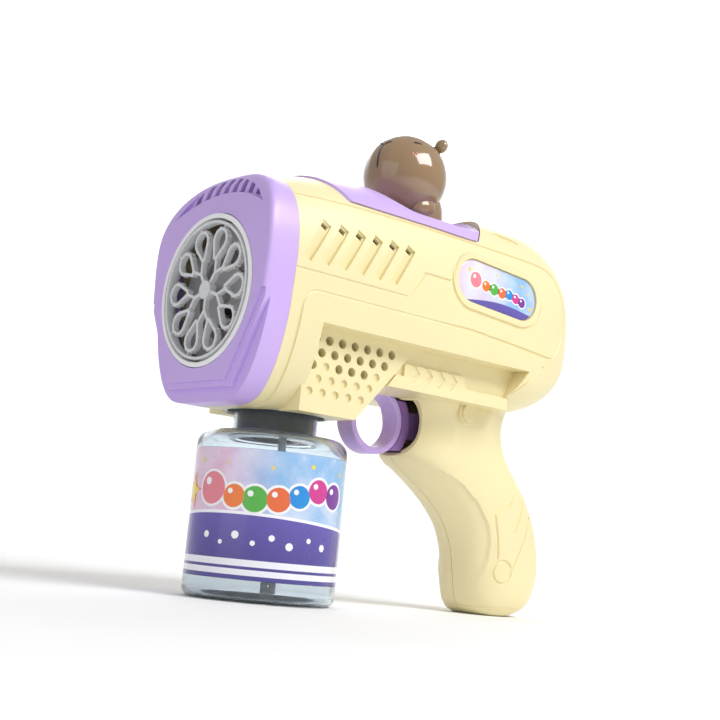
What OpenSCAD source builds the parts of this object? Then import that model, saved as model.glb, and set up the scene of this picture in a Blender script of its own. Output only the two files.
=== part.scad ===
/* [Body] */
// Width of the body across its widest part
body_w = 79; // [74:0.5:84]
// Height of the rounded top above the floor, at the back
top_z = 173.5; // [170:0.5:177]
// Thickness of the moulded walls
wall = 2.5; // [2:0.1:3]

/* [Bottle] */
// Outside diameter of the bottle
bottle_d = 60; // [56:0.5:62]
// Radius of the bottle's neck
neck_r = 17; // [16.5:0.1:17.4]

/* [Bubble wheel] */
// Radius of the bubble wheel's rim
wheel_r = 27.4; // [26:0.1:27.6]
// Number of bubble loops, in pairs on forked spokes
loops = 10; // [8:2:12]

/* [Trigger] */
// Radius of the finger hole
finger_r = 11.5; // [10.5:0.1:12]
// How far the trigger is pulled
trigger_travel = 4; // [2:0.5:4]

/* [Gears] */
// Module of all the gears
gear_m = 0.6; // [0.6:0.01:0.61]

/* [Hidden] */

$fn = 48;
CREAM = [0.98, 0.92, 0.72];
LAVENDER = [0.78, 0.66, 0.93];
BROWN = [0.55, 0.43, 0.31];
STEEL = [0.72, 0.73, 0.75];
WHITE = [0.94, 0.94, 0.95];
GREY = [0.62, 0.62, 0.64];
BLACK = [0.08, 0.08, 0.09];
BLUE_GREY = [0.45, 0.50, 0.60];
CLEAR = [0.75, 0.87, 0.95, 0.45];
BRASS = [0.80, 0.66, 0.32];

// Places along Y (front is -Y) and heights above the floor
seam_y = -27;
front_y = -40;
body_mid_z = 127.5;
half_w = body_w / 2;
rear_mid_y = 98;
rear_reach = 54;
wheel_y = -39;
wheel_z = 116.5;
floor_z = 73;
spine_z = 89;
ledge_z = 106.5;
saddle_z = 161;

function sgnpow(v, p) = sign(v) * pow(abs(v), p);
function closing(t, p) = t <= 0 ? 1 : t >= 1 ? 0 : pow(1 - pow(t, p), 1 / p);

// Body section at y; the lower half is fuller and leans in at the front, and is round at the back
function rear_t(y) = (y - rear_mid_y) / rear_reach;
function rearward(y) = min(max((y - 45) / 30, 0), 1);
function body_top_at(y) = top_z - 9.5 * exp(-(y - seam_y) / 30);
function body_point(y, a, inset) =
    let (w = max(half_w * closing(rear_t(y), 2.3) - inset, 1),
         top = max((body_top_at(y) - body_mid_z) * closing(rear_t(y), 2.2) - inset, 1),
         base = floor_z + (spine_z - 1 - floor_z) * rearward(y),
         low = max((body_mid_z - base) * closing(rear_t(y), 2.2) - inset, 1),
         n = sin(a) > 0 ? 2.7 : 6 - 2.8 * rearward(y),
         x = w * sgnpow(cos(a), 2 / n),
         s = sgnpow(sin(a), 2 / n),
         lean = s < 0 ? 1 - 0.3 * s * s * (1 - rearward(y)) : 1)
    [abs(x) < 1e-9 ? 0 : x * lean, y, body_mid_z + s * (s < 0 ? low : top)];

// One solid skinned over rings of points, each ring running clockwise seen from the last ring's end
module loft(rings) {
    n = len(rings[0]);
    m = len(rings);
    points = [for (r = rings) each r];
    sides = [for (j = [0:m - 2], i = [0:n - 1])
        let (a = j * n + i, b = j * n + (i + 1) % n, c = a + n, d = b + n)
        each [[a, b, d], [a, d, c]]];
    polyhedron(points, concat([[for (i = [n - 1:-1:0]) i]], sides,
        [[for (i = [0:n - 1]) (m - 1) * n + i]]), 4);
}

half_angles = [for (i = [0:20]) -90 + 9 * i];
body_ys = [seam_y, -14, 2, 20, 45, 75, 98, 110, 121, 131, 139, 145, 149.5, 151.6];
module body_half(inset, start = seam_y) {
    ys = [for (y = body_ys) if (y <= 151.6 - inset) y == seam_y ? start : y];
    loft([for (y = ys) [for (a = half_angles) body_point(y, a, inset)]]);
}

// Grip: height, front, back, half width
grip_rows = [[0, 116, 134, 12.5], [2.5, 111, 142, 15.5], [8, 108, 149, 17.5], [18, 106, 152, 18.5],
    [28, 104, 151.5, 18.5], [38, 99, 149, 18.5], [47, 89.5, 145, 18.5], [54, 79, 141, 18.5],
    [60, 68.5, 136, 18], [64.5, 61, 132, 18], [71, 60, 126, 18], [80, 61, 122, 18.5],
    [88, 60, 122, 20], [94, 60, 124, 22]];
function grip_point(row, a, inset) =
    let (mid = (row[1] + row[2]) / 2, deep = (row[2] - row[1]) / 2 - inset, w = row[3] - inset, n = 2.6,
         x = w * sgnpow(cos(a), 2 / n))
    [abs(x) < 1e-9 ? 0 : x, mid + deep * sgnpow(sin(a), 2 / n), row[0]];
module grip_half(inset, lift = 0) {
    rows = [for (r = grip_rows) if (r[0] >= lift) r];
    first = rows[0];
    loft([for (r = rows) [for (a = half_angles)
        grip_point(r[0] == first[0] ? [lift, r[1], r[2], r[3]] : r, -a, inset)]]);
}

// Everything under this line in the side view is outside the body
module under_body(drop) {
    rotate([90, 0, 90]) translate([0, 0, -60]) linear_extrude(120)
        polygon([[-60, floor_z - 20], [-60, floor_z - drop], [16 + drop, floor_z - drop],
            [31 + drop, spine_z - drop], [140, spine_z - drop], [140, floor_z - 20]]);
}

// Pocket below the ledge on one side
pocket_x = 28.3;
module side_pocket(grow) {
    rotate([90, 0, 90]) translate([0, 0, pocket_x - grow]) linear_extrude(30)
        polygon([[-10.3 - grow, 60], [99.7 + grow, 60], [99.7 + grow, 94], [106 + grow, ledge_z + grow],
            [-10.3 - grow, ledge_z + grow]]);
}
// Grille panel in front of the pocket, with the slanted edge behind the finger ring, and the lip
panel_x = 30;
module pocket_fill() {
    rotate([90, 0, 90]) linear_extrude(panel_x)
        polygon([[-12, floor_z + 0.01], [15.9, floor_z + 0.01], [46.4, ledge_z + 1], [-12, ledge_z + 1]]);
    rotate([90, 0, 90]) linear_extrude(panel_x + 0.4)
        polygon([[31.1, spine_z + 0.01], [101, spine_z + 0.01], [101, 94.2], [35.4, 94.2]]);
}

// Underside and dip of the saddle trim, drawn from the side as [y, z]
saddle_base = [[-13, 157.4], [0, 157], [20, 156.8], [70, 156.8], [77, 159.5], [83, 164.5], [90, 173]];
saddle_dip = [[2, 175], [8, 173.6], [16, 170.4], [24, 166], [31, 163], [38, saddle_z + 0.6],
    [72, saddle_z + 0.6], [78, 164.4], [84, 169.6], [90, 177]];
module saddle_cut(line, lift = 0, side = 60) {
    rotate([90, 0, 90]) translate([0, 0, -side]) linear_extrude(2 * side)
        polygon(concat([[line[0][0], 195]], [for (p = line) [p[0], p[1] + lift]],
            [[line[len(line) - 1][0], 195]]));
}

// Outline of the trim from above: wide, with a blunt front and a longer round rear
module saddle_plan(grow) {
    hull() {
        translate([0, 14, 100]) scale([40 + grow, 25 + grow, 100]) cylinder(h = 1, r = 1, $fn = 96);
        translate([0, 54, 100]) scale([40 + grow, 33 + grow, 100]) cylinder(h = 1, r = 1, $fn = 96);
    }
}

module louvres() {
    for (i = [0:5])
        translate([0, -18 + 8.75 * i, 136.5]) rotate([-30, 0, 0])
            translate([half_w - 1.4, -2.2, -9]) cube([10, 4.4, 18]);
    for (i = [0:5])
        translate([0, -18 + 8.75 * i, 136.5]) rotate([-30, 0, 0])
            translate([half_w - 8, -1.4, 5]) cube([10, 3.2, 3.2]);
}

grille_rows = [7, 6, 6, 5, 5];
grille_start = [-6.8, -3.6, -7.4, -4.2, -8];
module grille(deep) {
    for (r = [0:4], i = [0:grille_rows[r] - 1]) {
        through = r < 2 || (r == 2 && i != 1 && i != 5);
        translate([through ? 20 : panel_x - 1, grille_start[r] + 6.5 * i, 101.5 - 5.1 * r])
            rotate([0, 90, 0]) cylinder(h = 20, r = 1.75, $fn = 24);
    }
}

// Screw posts: y, z, reach into the half
posts = [[-8, 151.5, 32], [114, 152, 34.3], [122, 102, 31], [81, 97, 27.5], [97, 74, 17],
    [141, 7, 14]];
module post_tubes(r, from = 0) {
    for (p = posts) translate([from, p[0], p[1]]) rotate([0, 90, 0]) cylinder(h = p[2] - from, r = r);
}

// The finger ring and the slot that takes its stem
ring_y = 49.5;
ring_z = 78;
module ring_disc(r, w) {
    translate([-w / 2, ring_y, ring_z]) rotate([0, 90, 0]) cylinder(h = w, r = r);
}

module shell_half() {
    difference() {
        union() {
            difference() {
                union() {
                    difference() {
                        body_half(0);
                        under_body(0);
                        side_pocket(0);
                    }
                    pocket_fill();
                    grip_half(0);
                }
                difference() {
                    body_half(wall, seam_y - 1);
                    under_body(-wall);
                    side_pocket(wall);
                    intersection() {
                        saddle_cut(saddle_base, -wall);
                        saddle_plan(wall + 0.4);
                    }
                }
                grip_half(wall, wall);
            }
            intersection() {
                post_tubes(3.4);
                union() {
                    body_half(wall / 2);
                    grip_half(wall / 2);
                }
            }
        }
        intersection() {
            saddle_cut(saddle_base);
            saddle_plan(0.4);
        }
        well(13.2, 150, 20);
        intersection() {
            ring_disc(18.6, 60);
            translate([-40, 0, 0]) cube([80, 90, spine_z - 0.5]);
        }
        translate([-5.5, 40, 66]) cube([11, 42, 22.5]);
        for (d = [0, trigger_travel]) translate([0, d, 0]) ring_disc(15, 11.2);
        translate([0, 0, floor_z - 3]) cylinder(h = 16.5, r = 21.2);
        louvres();
        grille();
        badge_seat();
    }
}

badge_y = 81;
badge_z = 137.5;
module badge_shape(r, x0, x1) {
    rotate([0, 90, 0]) translate([-badge_z, badge_y, x0]) {
        translate([-1, -15, 0]) cylinder(h = x1 - x0, r = r);
        translate([1, 15, 0]) cylinder(h = x1 - x0, r = r);
        translate([-r, -15, 0]) cube([2 * r, 30, x1 - x0]);
    }
}
module badge_seat() {
    badge_shape(9.3, half_w - 1.5, half_w + 5);
}

// Battery pack: where its middle lies and how it leans in the grip
pack_y = 118.5;
pack_z = 42;
pack_tilt = 33;
module in_pack() {
    translate([0, pack_y, pack_z]) rotate([pack_tilt, 0, 0]) children();
}
// Battery door: a leaning rectangle cut out of the grip's right side
module door_prism(gap) {
    in_pack() translate([-30, -12 + gap, -26 + gap]) cube([22, 24 - 2 * gap, 57 - 2 * gap]);
}

module housing_left() {
    color(CREAM) difference() {
        shell_half();
        for (p = posts)
            translate([-1, p[0], p[1]]) rotate([0, 90, 0]) cylinder(h = 11, r = 1.3, $fn = 24);
    }
}

module housing_right() {
    color(CREAM) difference() {
        mirror([1, 0, 0]) shell_half();
        for (p = posts) {
            translate([-50, p[0], p[1]]) rotate([0, 90, 0]) cylinder(h = 60, r = 1.7, $fn = 24);
            translate([-50, p[0], p[1]]) rotate([0, 90, 0]) cylinder(h = 42, r = 2.3);
        }
        door_prism(0);
    }
}

module housing_screws() {
    color(STEEL) for (p = posts) {
        translate([-8, p[0], p[1]]) rotate([0, 90, 0]) cylinder(h = 16, r = 1.45, $fn = 24);
        translate([-10, p[0], p[1]]) rotate([0, 90, 0]) difference() {
            cylinder(h = 2, r = 2.2);
            for (a = [0, 90]) rotate(a) translate([-1.5, -0.3, -0.1]) cube([3, 0.6, 0.9]);
        }
    }
}

module battery_cover() {
    color(CREAM) difference() {
        intersection() {
            mirror([1, 0, 0]) difference() {
                grip_half(0);
                grip_half(wall, wall);
            }
            door_prism(0.3);
        }
        cover_screw_hole(-30, 20, 1.3);
        cover_screw_hole(-30, 13.1, 2.5);
    }
}
screw_z = 27.95;
module cover_screw_hole(x, len, r) {
    in_pack() translate([x, 0, screw_z]) rotate([0, 90, 0]) cylinder(h = len, r = r, $fn = 24);
}
module cover_screw() {
    color(STEEL) difference() {
        union() {
            cover_screw_hole(-18.1, 1.18, 2.4);
            cover_screw_hole(-17.1, 7.1, 1.2);
        }
        in_pack() translate([-18.2, -0.3, screw_z - 1.6]) cube([0.6, 0.6, 3.2]);
    }
}

// Nose bezel: flat front with a round opening, a leaning rim and set-back lower wings
function nose_point(a, inset, lift) =
    let (p = body_point(seam_y, a, inset))
    [p[0], p[2] - (p[2] > body_mid_z ? lift * (p[2] - body_mid_z) / 36 : 0)];
nose_angles = [for (i = [0:39]) 9 * i];
// Ring of points round the nose; the front leans back by back_at towards its top
function nose_ring_at(y, inset, lift, back_at) =
    [for (a = nose_angles) let (p = nose_point(a, inset, lift), rise = max(0, (p[1] - 136) / 30))
        [p[0], y + back_at * pow(rise, 2), p[1]]];
module nose_bezel() {
    color(LAVENDER) difference() {
        loft([nose_ring_at(front_y, 1.5, 1.5, 8), nose_ring_at(front_y + 0.5, 0.45, 0.6, 8),
            nose_ring_at(front_y + 1.5, 0.1, 0.2, 8), nose_ring_at(front_y + 4, 0, 0, 8),
            nose_ring_at(seam_y - 0.1, 0, 0, 0)]);
        loft([nose_ring_at(front_y + nose_front, wall + 0.6, 3, 8), nose_ring_at(seam_y + 1, wall + 0.6, 0, 0)]);
        translate([0, front_y - 1, wheel_z]) rotate([-90, 0, 0]) cylinder(h = 10, r = 30.6);
        nose_vents();
        for (s = [-1, 1]) nose_wing(s);
    }
}
// Thickness of the nose's front, which the vents, wings and wheel opening are cut into
nose_front = 5.1;
module nose_vents() {
    for (i = [-3:3])
        translate([6 * i, front_y - 2, 158.6 - 0.46 * i * i]) rotate([0, 30, 0])
            translate([-1.5, 0, -3]) cube([3, 18, 6]);
}
// The step that runs down beside the opening and leaves the wings set back
module nose_wing(s) {
    rotate([90, 0, 0]) translate([0, 0, -front_y - 4.2]) linear_extrude(10)
        polygon([[s * 50, 112], [s * 38.6, 112], [s * 34.5, 105], [s * 21, 78.2], [0, 78.2], [0, 60],
            [s * 50, 60]]);
}

module nose_ring() {
    color(WHITE) translate([0, front_y - 0.6, wheel_z]) rotate([-90, 0, 0]) difference() {
        cylinder(h = 5.5, r = 30.3);
        translate([0, 0, -1]) cylinder(h = 8, r = 28.3);
    }
}

// Bubble wheel: rim, forked spokes and ribbed loops
loop_reach = 20.4;
module loop_outline(r, tail) {
    union() {
        circle(r = r);
        polygon([[-r * 0.97, 0.24 * r], [-r * 0.86, -0.5 * r], [-tail, -r - 3.6], [tail, -r - 3.6],
            [r * 0.86, -0.5 * r], [r * 0.97, 0.24 * r]]);
    }
}
module bubble_wheel() {
    color(WHITE) translate([0, wheel_y + 1.5, wheel_z]) rotate([90, 0, 0]) difference() {
        union() {
            difference() {
                cylinder(h = 3, r = wheel_r);
                translate([0, 0, -1]) cylinder(h = 5, r = wheel_r - 1.1);
            }
            cylinder(h = 3, r = 3.6);
            for (k = [0:loops - 1]) rotate(360 / loops * (k + 0.5)) {
                difference() {
                    translate([0, loop_reach, 0]) linear_extrude(2.4) loop_outline(4.7, 1.0);
                    translate([0, loop_reach, -1]) linear_extrude(5) loop_outline(3.5, 0.3);
                }
                translate([-0.45, loop_reach + 4.3, 0.3]) cube([0.9, 2.6, 1.8]);
                for (t = [0:11]) if (t != 9) translate([0, loop_reach, 0]) rotate(30 * t)
                    translate([4.5, -0.25, 0.2]) cube([0.7, 0.5, 2]);
            }
            for (k = [0:loops / 2 - 1]) rotate(720 / loops * (k + 0.5)) {
                translate([-0.7, 3, 0.2]) cube([1.4, 5.6, 2]);
                for (s = [-1, 1]) translate([0, 8, 0.2]) rotate(-s * 38)
                    translate([-0.6, -0.3, 0]) cube([1.2, 7, 2]);
            }
        }
        translate([0, 0, -1]) cylinder(h = 3, r = 1.5, $fn = 24);
    }
}

module wheel_shaft() {
    color(STEEL) translate([0, wheel_y + 0.5, wheel_z]) rotate([-90, 0, 0])
        cylinder(h = 63.5, r = 1.5, $fn = 24);
}

// Trapezoid-toothed gear, drawn round the origin with a tooth at angle 0
module gear_2d(teeth) {
    r = teeth * gear_m / 2;
    step = 360 / teeth;
    polygon([for (i = [0:teeth - 1], k = [0:3])
        let (a = step * (i + [-0.27, -0.09, 0.09, 0.27][k]), q = r + gear_m * [-1.25, 0.85, 0.85, -1.25][k])
        [q * cos(a), q * sin(a)]]);
}
module gear_at(c, y, teeth, width, turn, bore_r) {
    translate([c[0], y + width, c[1]]) rotate([90, 0, 0]) difference() {
        rotate(turn) linear_extrude(width) gear_2d(teeth);
        translate([0, 0, -1]) cylinder(h = width + 2, r = bore_r, $fn = 24);
    }
}

// Gear train in the X-Z plane: teeth and directions between the axes
pinion_t = 10;
first_t = 40;
small_t = 12;
second_t = 36;
wheel_t = 44;
pump_t = 30;
function along(c, teeth_a, teeth_b, dir) =
    c + (teeth_a + teeth_b) * gear_m / 2 * [cos(dir), sin(dir)];
// Turn of gear b so that it meshes with gear a, which is turned by turn_a
function meshed(turn_a, teeth_a, teeth_b, dir) =
    dir + 180 + 180 / teeth_b - (turn_a - dir) * teeth_a / teeth_b;
dir_second = 170;
dir_first = 60;
dir_motor = -15;
dir_pump = -60;
wheel_c = [0, wheel_z];
second_c = along(wheel_c, wheel_t, small_t, dir_second);
first_c = along(second_c, second_t, small_t, dir_first);
motor_c = along(first_c, first_t, pinion_t, dir_motor);
pump_c = along(wheel_c, wheel_t, pump_t, dir_pump);
turn_wheel = 0;
turn_second_small = meshed(turn_wheel, wheel_t, small_t, dir_second);
turn_second = turn_second_small;
turn_first_small = meshed(turn_second, second_t, small_t, dir_first);
turn_first = turn_first_small;
turn_pinion = meshed(turn_first, first_t, pinion_t, dir_motor);
turn_pump = meshed(turn_wheel, wheel_t, pump_t, dir_pump);
layer_out = 11.2;
layer_mid = 15.4;
layer_in = 19.6;
gear_width = 3.2;
front_plate_y = 8;
rear_plate_y = 24.5;
plate_t = 2;

module wheel_gear() {
    color(WHITE) {
        gear_at(wheel_c, layer_out, wheel_t, gear_width, turn_wheel, 1.5);
        tube_y(wheel_c, layer_out + gear_width, 2.5, 3.4, 1.5);
    }
}
module tube_y(c, y, len, r_out, r_in) {
    translate([c[0], y, c[1]]) rotate([-90, 0, 0]) difference() {
        cylinder(h = len, r = r_out);
        translate([0, 0, -1]) cylinder(h = len + 2, r = r_in, $fn = 24);
    }
}
module rod_y(c, y, len, r) {
    translate([c[0], y, c[1]]) rotate([-90, 0, 0]) cylinder(h = len, r = r, $fn = 32);
}
module gear_first() {
    color([0.93, 0.86, 0.62]) {
        gear_at(first_c, layer_in, first_t, gear_width, turn_first, 1.06);
        gear_at(first_c, layer_mid, small_t, layer_in - layer_mid + 0.1, turn_first_small, 1.06);
    }
}
module gear_second() {
    color([0.72, 0.82, 0.93]) {
        gear_at(second_c, layer_mid, second_t, gear_width, turn_second, 1.06);
        gear_at(second_c, layer_out, small_t, layer_mid - layer_out + 0.1, turn_second_small, 1.06);
    }
}
module gear_axles() {
    color(STEEL) for (c = [first_c, second_c])
        rod_y(c, front_plate_y, rear_plate_y + plate_t - front_plate_y, 1);
}
module motor_pinion() {
    color(BRASS) gear_at(motor_c, layer_in, pinion_t, gear_width, turn_pinion, 1);
}
module pump_gear() {
    color(WHITE) gear_at(pump_c, layer_out, pump_t, gear_width, turn_pump, 1.5);
}

module plate_outline() {
    hull() {
        for (c = concat(pillars_c, [second_c])) translate(c) circle(r = 5, $fn = 32);
        translate(pump_c) circle(r = 6, $fn = 32);
    }
}
module gear_plate(y) {
    translate([0, y + plate_t, 0]) rotate([90, 0, 0]) linear_extrude(plate_t) plate_outline();
}
module gearbox_front() {
    color(GREY) difference() {
        gear_plate(front_plate_y);
        rod_y(wheel_c, front_plate_y - 1, 5, 1.56);
        rod_y(pump_c, front_plate_y - 1, 5, 1.56);
        rod_y(first_c, front_plate_y - 1, 5, 1);
        rod_y(second_c, front_plate_y - 1, 5, 1);
        for (c = pillars_c) rod_y(c, front_plate_y - 1, 5, 1.6);
    }
}
module gearbox_rear() {
    color(GREY) difference() {
        gear_plate(rear_plate_y);
        rod_y(wheel_c, rear_plate_y - 1, 5, 1.56);
        rod_y(motor_c, rear_plate_y - 1, 5, 3.1);
        rod_y(first_c, rear_plate_y - 1, 5, 1);
        rod_y(second_c, rear_plate_y - 1, 5, 1);
        for (c = pillars_c) rod_y(c, rear_plate_y - 1, 5, 1.6);
    }
}
pillars_c = [[-26.5, 131], [8.5, 146], [20.5, 109.5]];
module gearbox_pillars() {
    color(STEEL) for (c = pillars_c) {
        rod_y(c, front_plate_y + plate_t, rear_plate_y - front_plate_y - plate_t, 2.4);
        rod_y(c, front_plate_y - 0.8, rear_plate_y + plate_t - front_plate_y + 1.6, 1.55);
        rod_y(c, front_plate_y - 1.8, 1.8, 2.6);
        rod_y(c, rear_plate_y + plate_t, 1.8, 2.6);
    }
}

// Motor: can, end cap, armature and a shaft that sticks out at both ends
motor_y = rear_plate_y + plate_t;
motor_len = 26;
module motor_can() {
    color(STEEL) difference() {
        rod_y(motor_c, motor_y, motor_len, 12);
        rod_y(motor_c, motor_y + 1, motor_len, 11);
        rod_y(motor_c, motor_y - 1, 5, 1.08);
    }
    color(STEEL) tube_y(motor_c, motor_y - plate_t, plate_t + 0.5, 3, 1.08);
}
module motor_endcap() {
    color(BLACK) difference() {
        union() {
            rod_y(motor_c, motor_y + motor_len, 2, 12);
            rod_y(motor_c, motor_y + motor_len - 2, 2, 10.9);
            rod_y(motor_c, motor_y + motor_len + 2, 1.6, 3);
        }
        rod_y(motor_c, motor_y + motor_len - 3, 8, 1.08);
    }
}
module motor_armature() {
    color([0.72, 0.42, 0.22]) difference() {
        union() {
            rod_y(motor_c, motor_y + 5, 14, 3.6);
            for (k = [0:2]) translate([motor_c[0], motor_y + 5, motor_c[1]]) rotate([-90, 120 * k, 0]) {
                translate([-1.3, 0, 0]) cube([2.6, 7.6, 14]);
                translate([-4, 7.2, 0]) cube([8, 1.4, 14]);
            }
        }
        rod_y(motor_c, motor_y, 30, 1);
    }
}
module motor_shaft() {
    color(STEEL) rod_y(motor_c, layer_in - 0.2, 51, 1);
}

// Fan: backward-curved blades on a plate, in a round housing with a side outlet
fan_y = 58;
fan_r = 20;
module fan_impeller() {
    color(WHITE) {
        difference() {
            union() {
                rod_y(motor_c, fan_y, 1.4, fan_r);
                rod_y(motor_c, fan_y, 11, 3.2);
                for (k = [0:9]) translate([motor_c[0], fan_y + 12.2, motor_c[1]]) rotate([90, 36 * k, 0])
                    linear_extrude(11.2) intersection() {
                        translate([10, 7.5]) difference() {
                            circle(r = 11.4);
                            circle(r = 10.4);
                        }
                        difference() {
                            circle(r = fan_r - 0.2);
                            circle(r = 9);
                            translate([-30, -60]) square([60, 60]);
                        }
                    }
            }
            rod_y(motor_c, fan_y - 1, 20, 1);
        }
    }
}
duct_x0 = -24.4;
duct_x1 = -9.4;
duct_z0 = 94;
duct_z1 = 103.4;
module fan_housing() {
    color(GREY) difference() {
        union() {
            rod_y(motor_c, fan_y - 1.8, 16.6, 23.6);
            translate([duct_x0, fan_y - 1.8, duct_z0]) cube([duct_x1 - duct_x0, 16.6, 28]);
        }
        rod_y(motor_c, fan_y - 0.4, 13.6, 21.6);
        rod_y(motor_c, fan_y - 3, 4, 4);
        rod_y(motor_c, fan_y + 10, 6, 13);
        translate([duct_x0 + 1.4, fan_y - 0.4, duct_z0 + 1.4]) cube([duct_x1 - duct_x0 - 2.8, 13.6, 30]);
        translate([duct_x0 + 1.4, fan_y - 3, duct_z0 + 1.4])
            cube([duct_x1 - duct_x0 - 2.8, 6, duct_z1 - duct_z0 - 2.8]);
    }
}

// Duct: square run from the fan to a round plenum behind the wheel
plenum_y = -28.5;
module air_duct() {
    color(WHITE) difference() {
        union() {
            rod_y(wheel_c, plenum_y, 13.5, 27.8);
            translate([duct_x0, -16, duct_z0])
                cube([duct_x1 - duct_x0, fan_y - 1.8 + 16, duct_z1 - duct_z0]);
        }
        rod_y(wheel_c, plenum_y - 1, 13, 26.4);
        translate([duct_x0 + 1.4, -30, duct_z0 + 1.4])
            cube([duct_x1 - duct_x0 - 2.8, fan_y + 40, duct_z1 - duct_z0 - 2.8]);
        rod_y(wheel_c, -20, 10, 1.6);
        rod_y([12, 104], -20, 10, 3.2);
    }
}
module air_baffle() {
    color(GREY) difference() {
        union() {
            rod_y(wheel_c, plenum_y - 1.8, 1.8, 28.2);
            rod_y(wheel_c, plenum_y - 5, 6, 3.6);
        }
        rod_y(wheel_c, plenum_y - 8, 12, 1.56);
        for (k = [0:4]) translate([0, plenum_y - 3, wheel_z]) rotate([-90, 72 * k, 0])
            difference() {
                cylinder(h = 5, r = 18);
                translate([0, 0, -1]) cylinder(h = 7, r = 12);
                rotate(62) translate([0, -50, -1]) cube([100, 100, 7]);
                translate([-100, -50, -1]) cube([100, 100, 7]);
            }
        rod_y([4.6, 109.2], plenum_y - 4, 8, 1.55);
    }
}
module feed_nozzle() {
    color(BLACK) difference() {
        union() {
            rod_y([4.6, 109.2], plenum_y - 6.2, 10, 1.5);
            rod_y([4.6, 109.2], plenum_y - 3, 1.2, 2.6);
        }
        rod_y([4.6, 109.2], plenum_y - 8, 14, 0.8);
    }
}
// Hole that lets the drips run back into the bottle
drain = [-3, -4];
tray_z = 86.3;
module drip_tray() {
    color(WHITE) difference() {
        union() {
            translate([-12, -34.8, tray_z]) cube([24, 4.3, 1.8]);
            translate([-8, -31, tray_z]) cube([11.6, 30, 1.8]);
        }
        translate([-11.3, -34.1, tray_z + 0.7]) cube([22.6, 2.9, 2]);
        translate([-7.3, -33, tray_z + 0.7]) cube([10.2, 31.3, 2]);
        translate([drain[0], drain[1], 80]) cylinder(h = 8, r = 2);
    }
}
module rod_z(x, y, z, h, r) {
    translate([x, y, z]) cylinder(h = h, r = r);
}

// Saddle trim: a lavender shell over the dip, hollow under its front, with a well for the figure
module saddle_trim() {
    color(LAVENDER) difference() {
        intersection() {
            mirror_pair() body_half(-0.8);
            saddle_plan(0);
            saddle_cut(saddle_base, 0.1);
        }
        saddle_cut(saddle_dip);
        difference() {
            intersection() {
                mirror_pair() body_half(wall);
                saddle_plan(-2.5);
                translate([-40, -20, 150]) cube([80, 53, 60]);
            }
            saddle_cut(saddle_dip, -2.5);
        }
        well(13, 140, 60);
    }
    color(LAVENDER) difference() {
        well(13, saddle_z - 6.4, 8.2);
        well(11.4, saddle_z - 5, 20);
        translate([0, figure_y, saddle_z - 8]) cylinder(h = 6, r = 2.6);
    }
}
figure_y = 57;
module well(r, z, h) {
    hull() for (y = [46, 66]) translate([0, y, z]) cylinder(h = h, r = r, $fn = 32);
}
module mirror_pair() {
    children();
    mirror([1, 0, 0]) children();
}

// Small animal figure: round head tipped back, round ears, body that stands in the well
head_z = 187;
head_r = 19;
module figure_body() {
    color(BROWN) difference() {
        union() {
            translate([0, figure_y + 6.5, saddle_z - 4.9]) rotate_extrude($fn = 48)
                polygon([[0, 0], [10.9, 0], [10.9, 6.4], [12.4, 9.6], [13.2, 12.8], [13.3, 16], [12.9, 19.2],
                    [11.9, 22.4], [10, 25.6], [7, 28.4], [0, 29.9]]);
            for (s = [-1, 1]) translate([s * 10.2, figure_y + 3.5, saddle_z + 11.2]) sphere(r = 5.2);
            translate([0, figure_y, saddle_z - 8]) cylinder(h = 5, r = 2.5);
        }
        head_ball(0.05);
    }
}
module head_ball(grow) {
    translate([0, figure_y, head_z]) sphere(r = head_r + grow, $fn = 64);
}
module figure_head() {
    color(BROWN) head_ball(0);
}
// Ears: balls with a flat foot on the head
ear_at = [11.1, 10.1, 15.5];
module figure_ears() {
    color(BROWN) for (s = [-1, 1]) translate([0, figure_y, head_z])
        rotate([0, acos(ear_at[2] / norm(ear_at)), atan2(ear_at[1], s * ear_at[0])]) intersection() {
            translate([0, 0, norm(ear_at)]) sphere(r = 3.2);
            translate([0, 0, head_r + 0.03]) cylinder(h = 8, r = 5);
        }
}

module badge_plate() {
    badge_shape(8.9, half_w - 1.5, half_w + 0.2);
}
module badge_left() {
    color([0.75, 0.86, 0.96]) badge_plate();
}
module badge_right() {
    color([0.75, 0.86, 0.96]) mirror([1, 0, 0]) badge_plate();
}

// Trigger: finger ring, its rear flange and the stem that runs into the grip
stem_end_y = 75;
module trigger_ring() {
    color(LAVENDER) difference() {
        union() {
            ring_disc(14.3, 10);
            intersection() {
                ring_disc(18.2, 10);
                translate([-10, ring_y + 2, 66.6]) cube([20, 30, 21.4]);
            }
            translate([-3.4, ring_y + 12, 72]) cube([6.8, stem_end_y - ring_y - 12, 12]);
        }
        ring_disc(finger_r, 20);
        translate([0, stem_end_y - 4, 75.2]) rotate([-90, 0, 0]) cylinder(h = 5, r = 3.1);
    }
}
// Coil spring between the stem and the post behind it
spring_turns = 6;
spring_y0 = stem_end_y - 4;
spring_len = 22.5;
module trigger_spring() {
    color(STEEL) translate([0, spring_y0, 75.2]) rotate([-90, 0, 0]) sweep(
        [for (i = [0:12 * spring_turns]) let (a = 30 * i)
            [2.3 * cos(a), 2.3 * sin(a), 0.4 + (spring_len - 0.8) * i / (12 * spring_turns)]], 0.35, 6);
}
// Round tube of radius r swept along a list of points
function unit(v) = v / norm(v);
function side_of(t) = unit(cross(t, abs(t[2]) < 0.9 ? [0, 0, 1] : [1, 0, 0]));
module sweep(path, r, sides) {
    last = len(path) - 1;
    loft([for (i = [0:last])
        let (t = unit(path[min(i + 1, last)] - path[max(i - 1, 0)]), u = side_of(t), v = cross(t, u))
        [for (k = [0:sides - 1]) path[i] + r * (cos(360 * k / sides) * u - sin(360 * k / sides) * v)]]);
}

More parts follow.
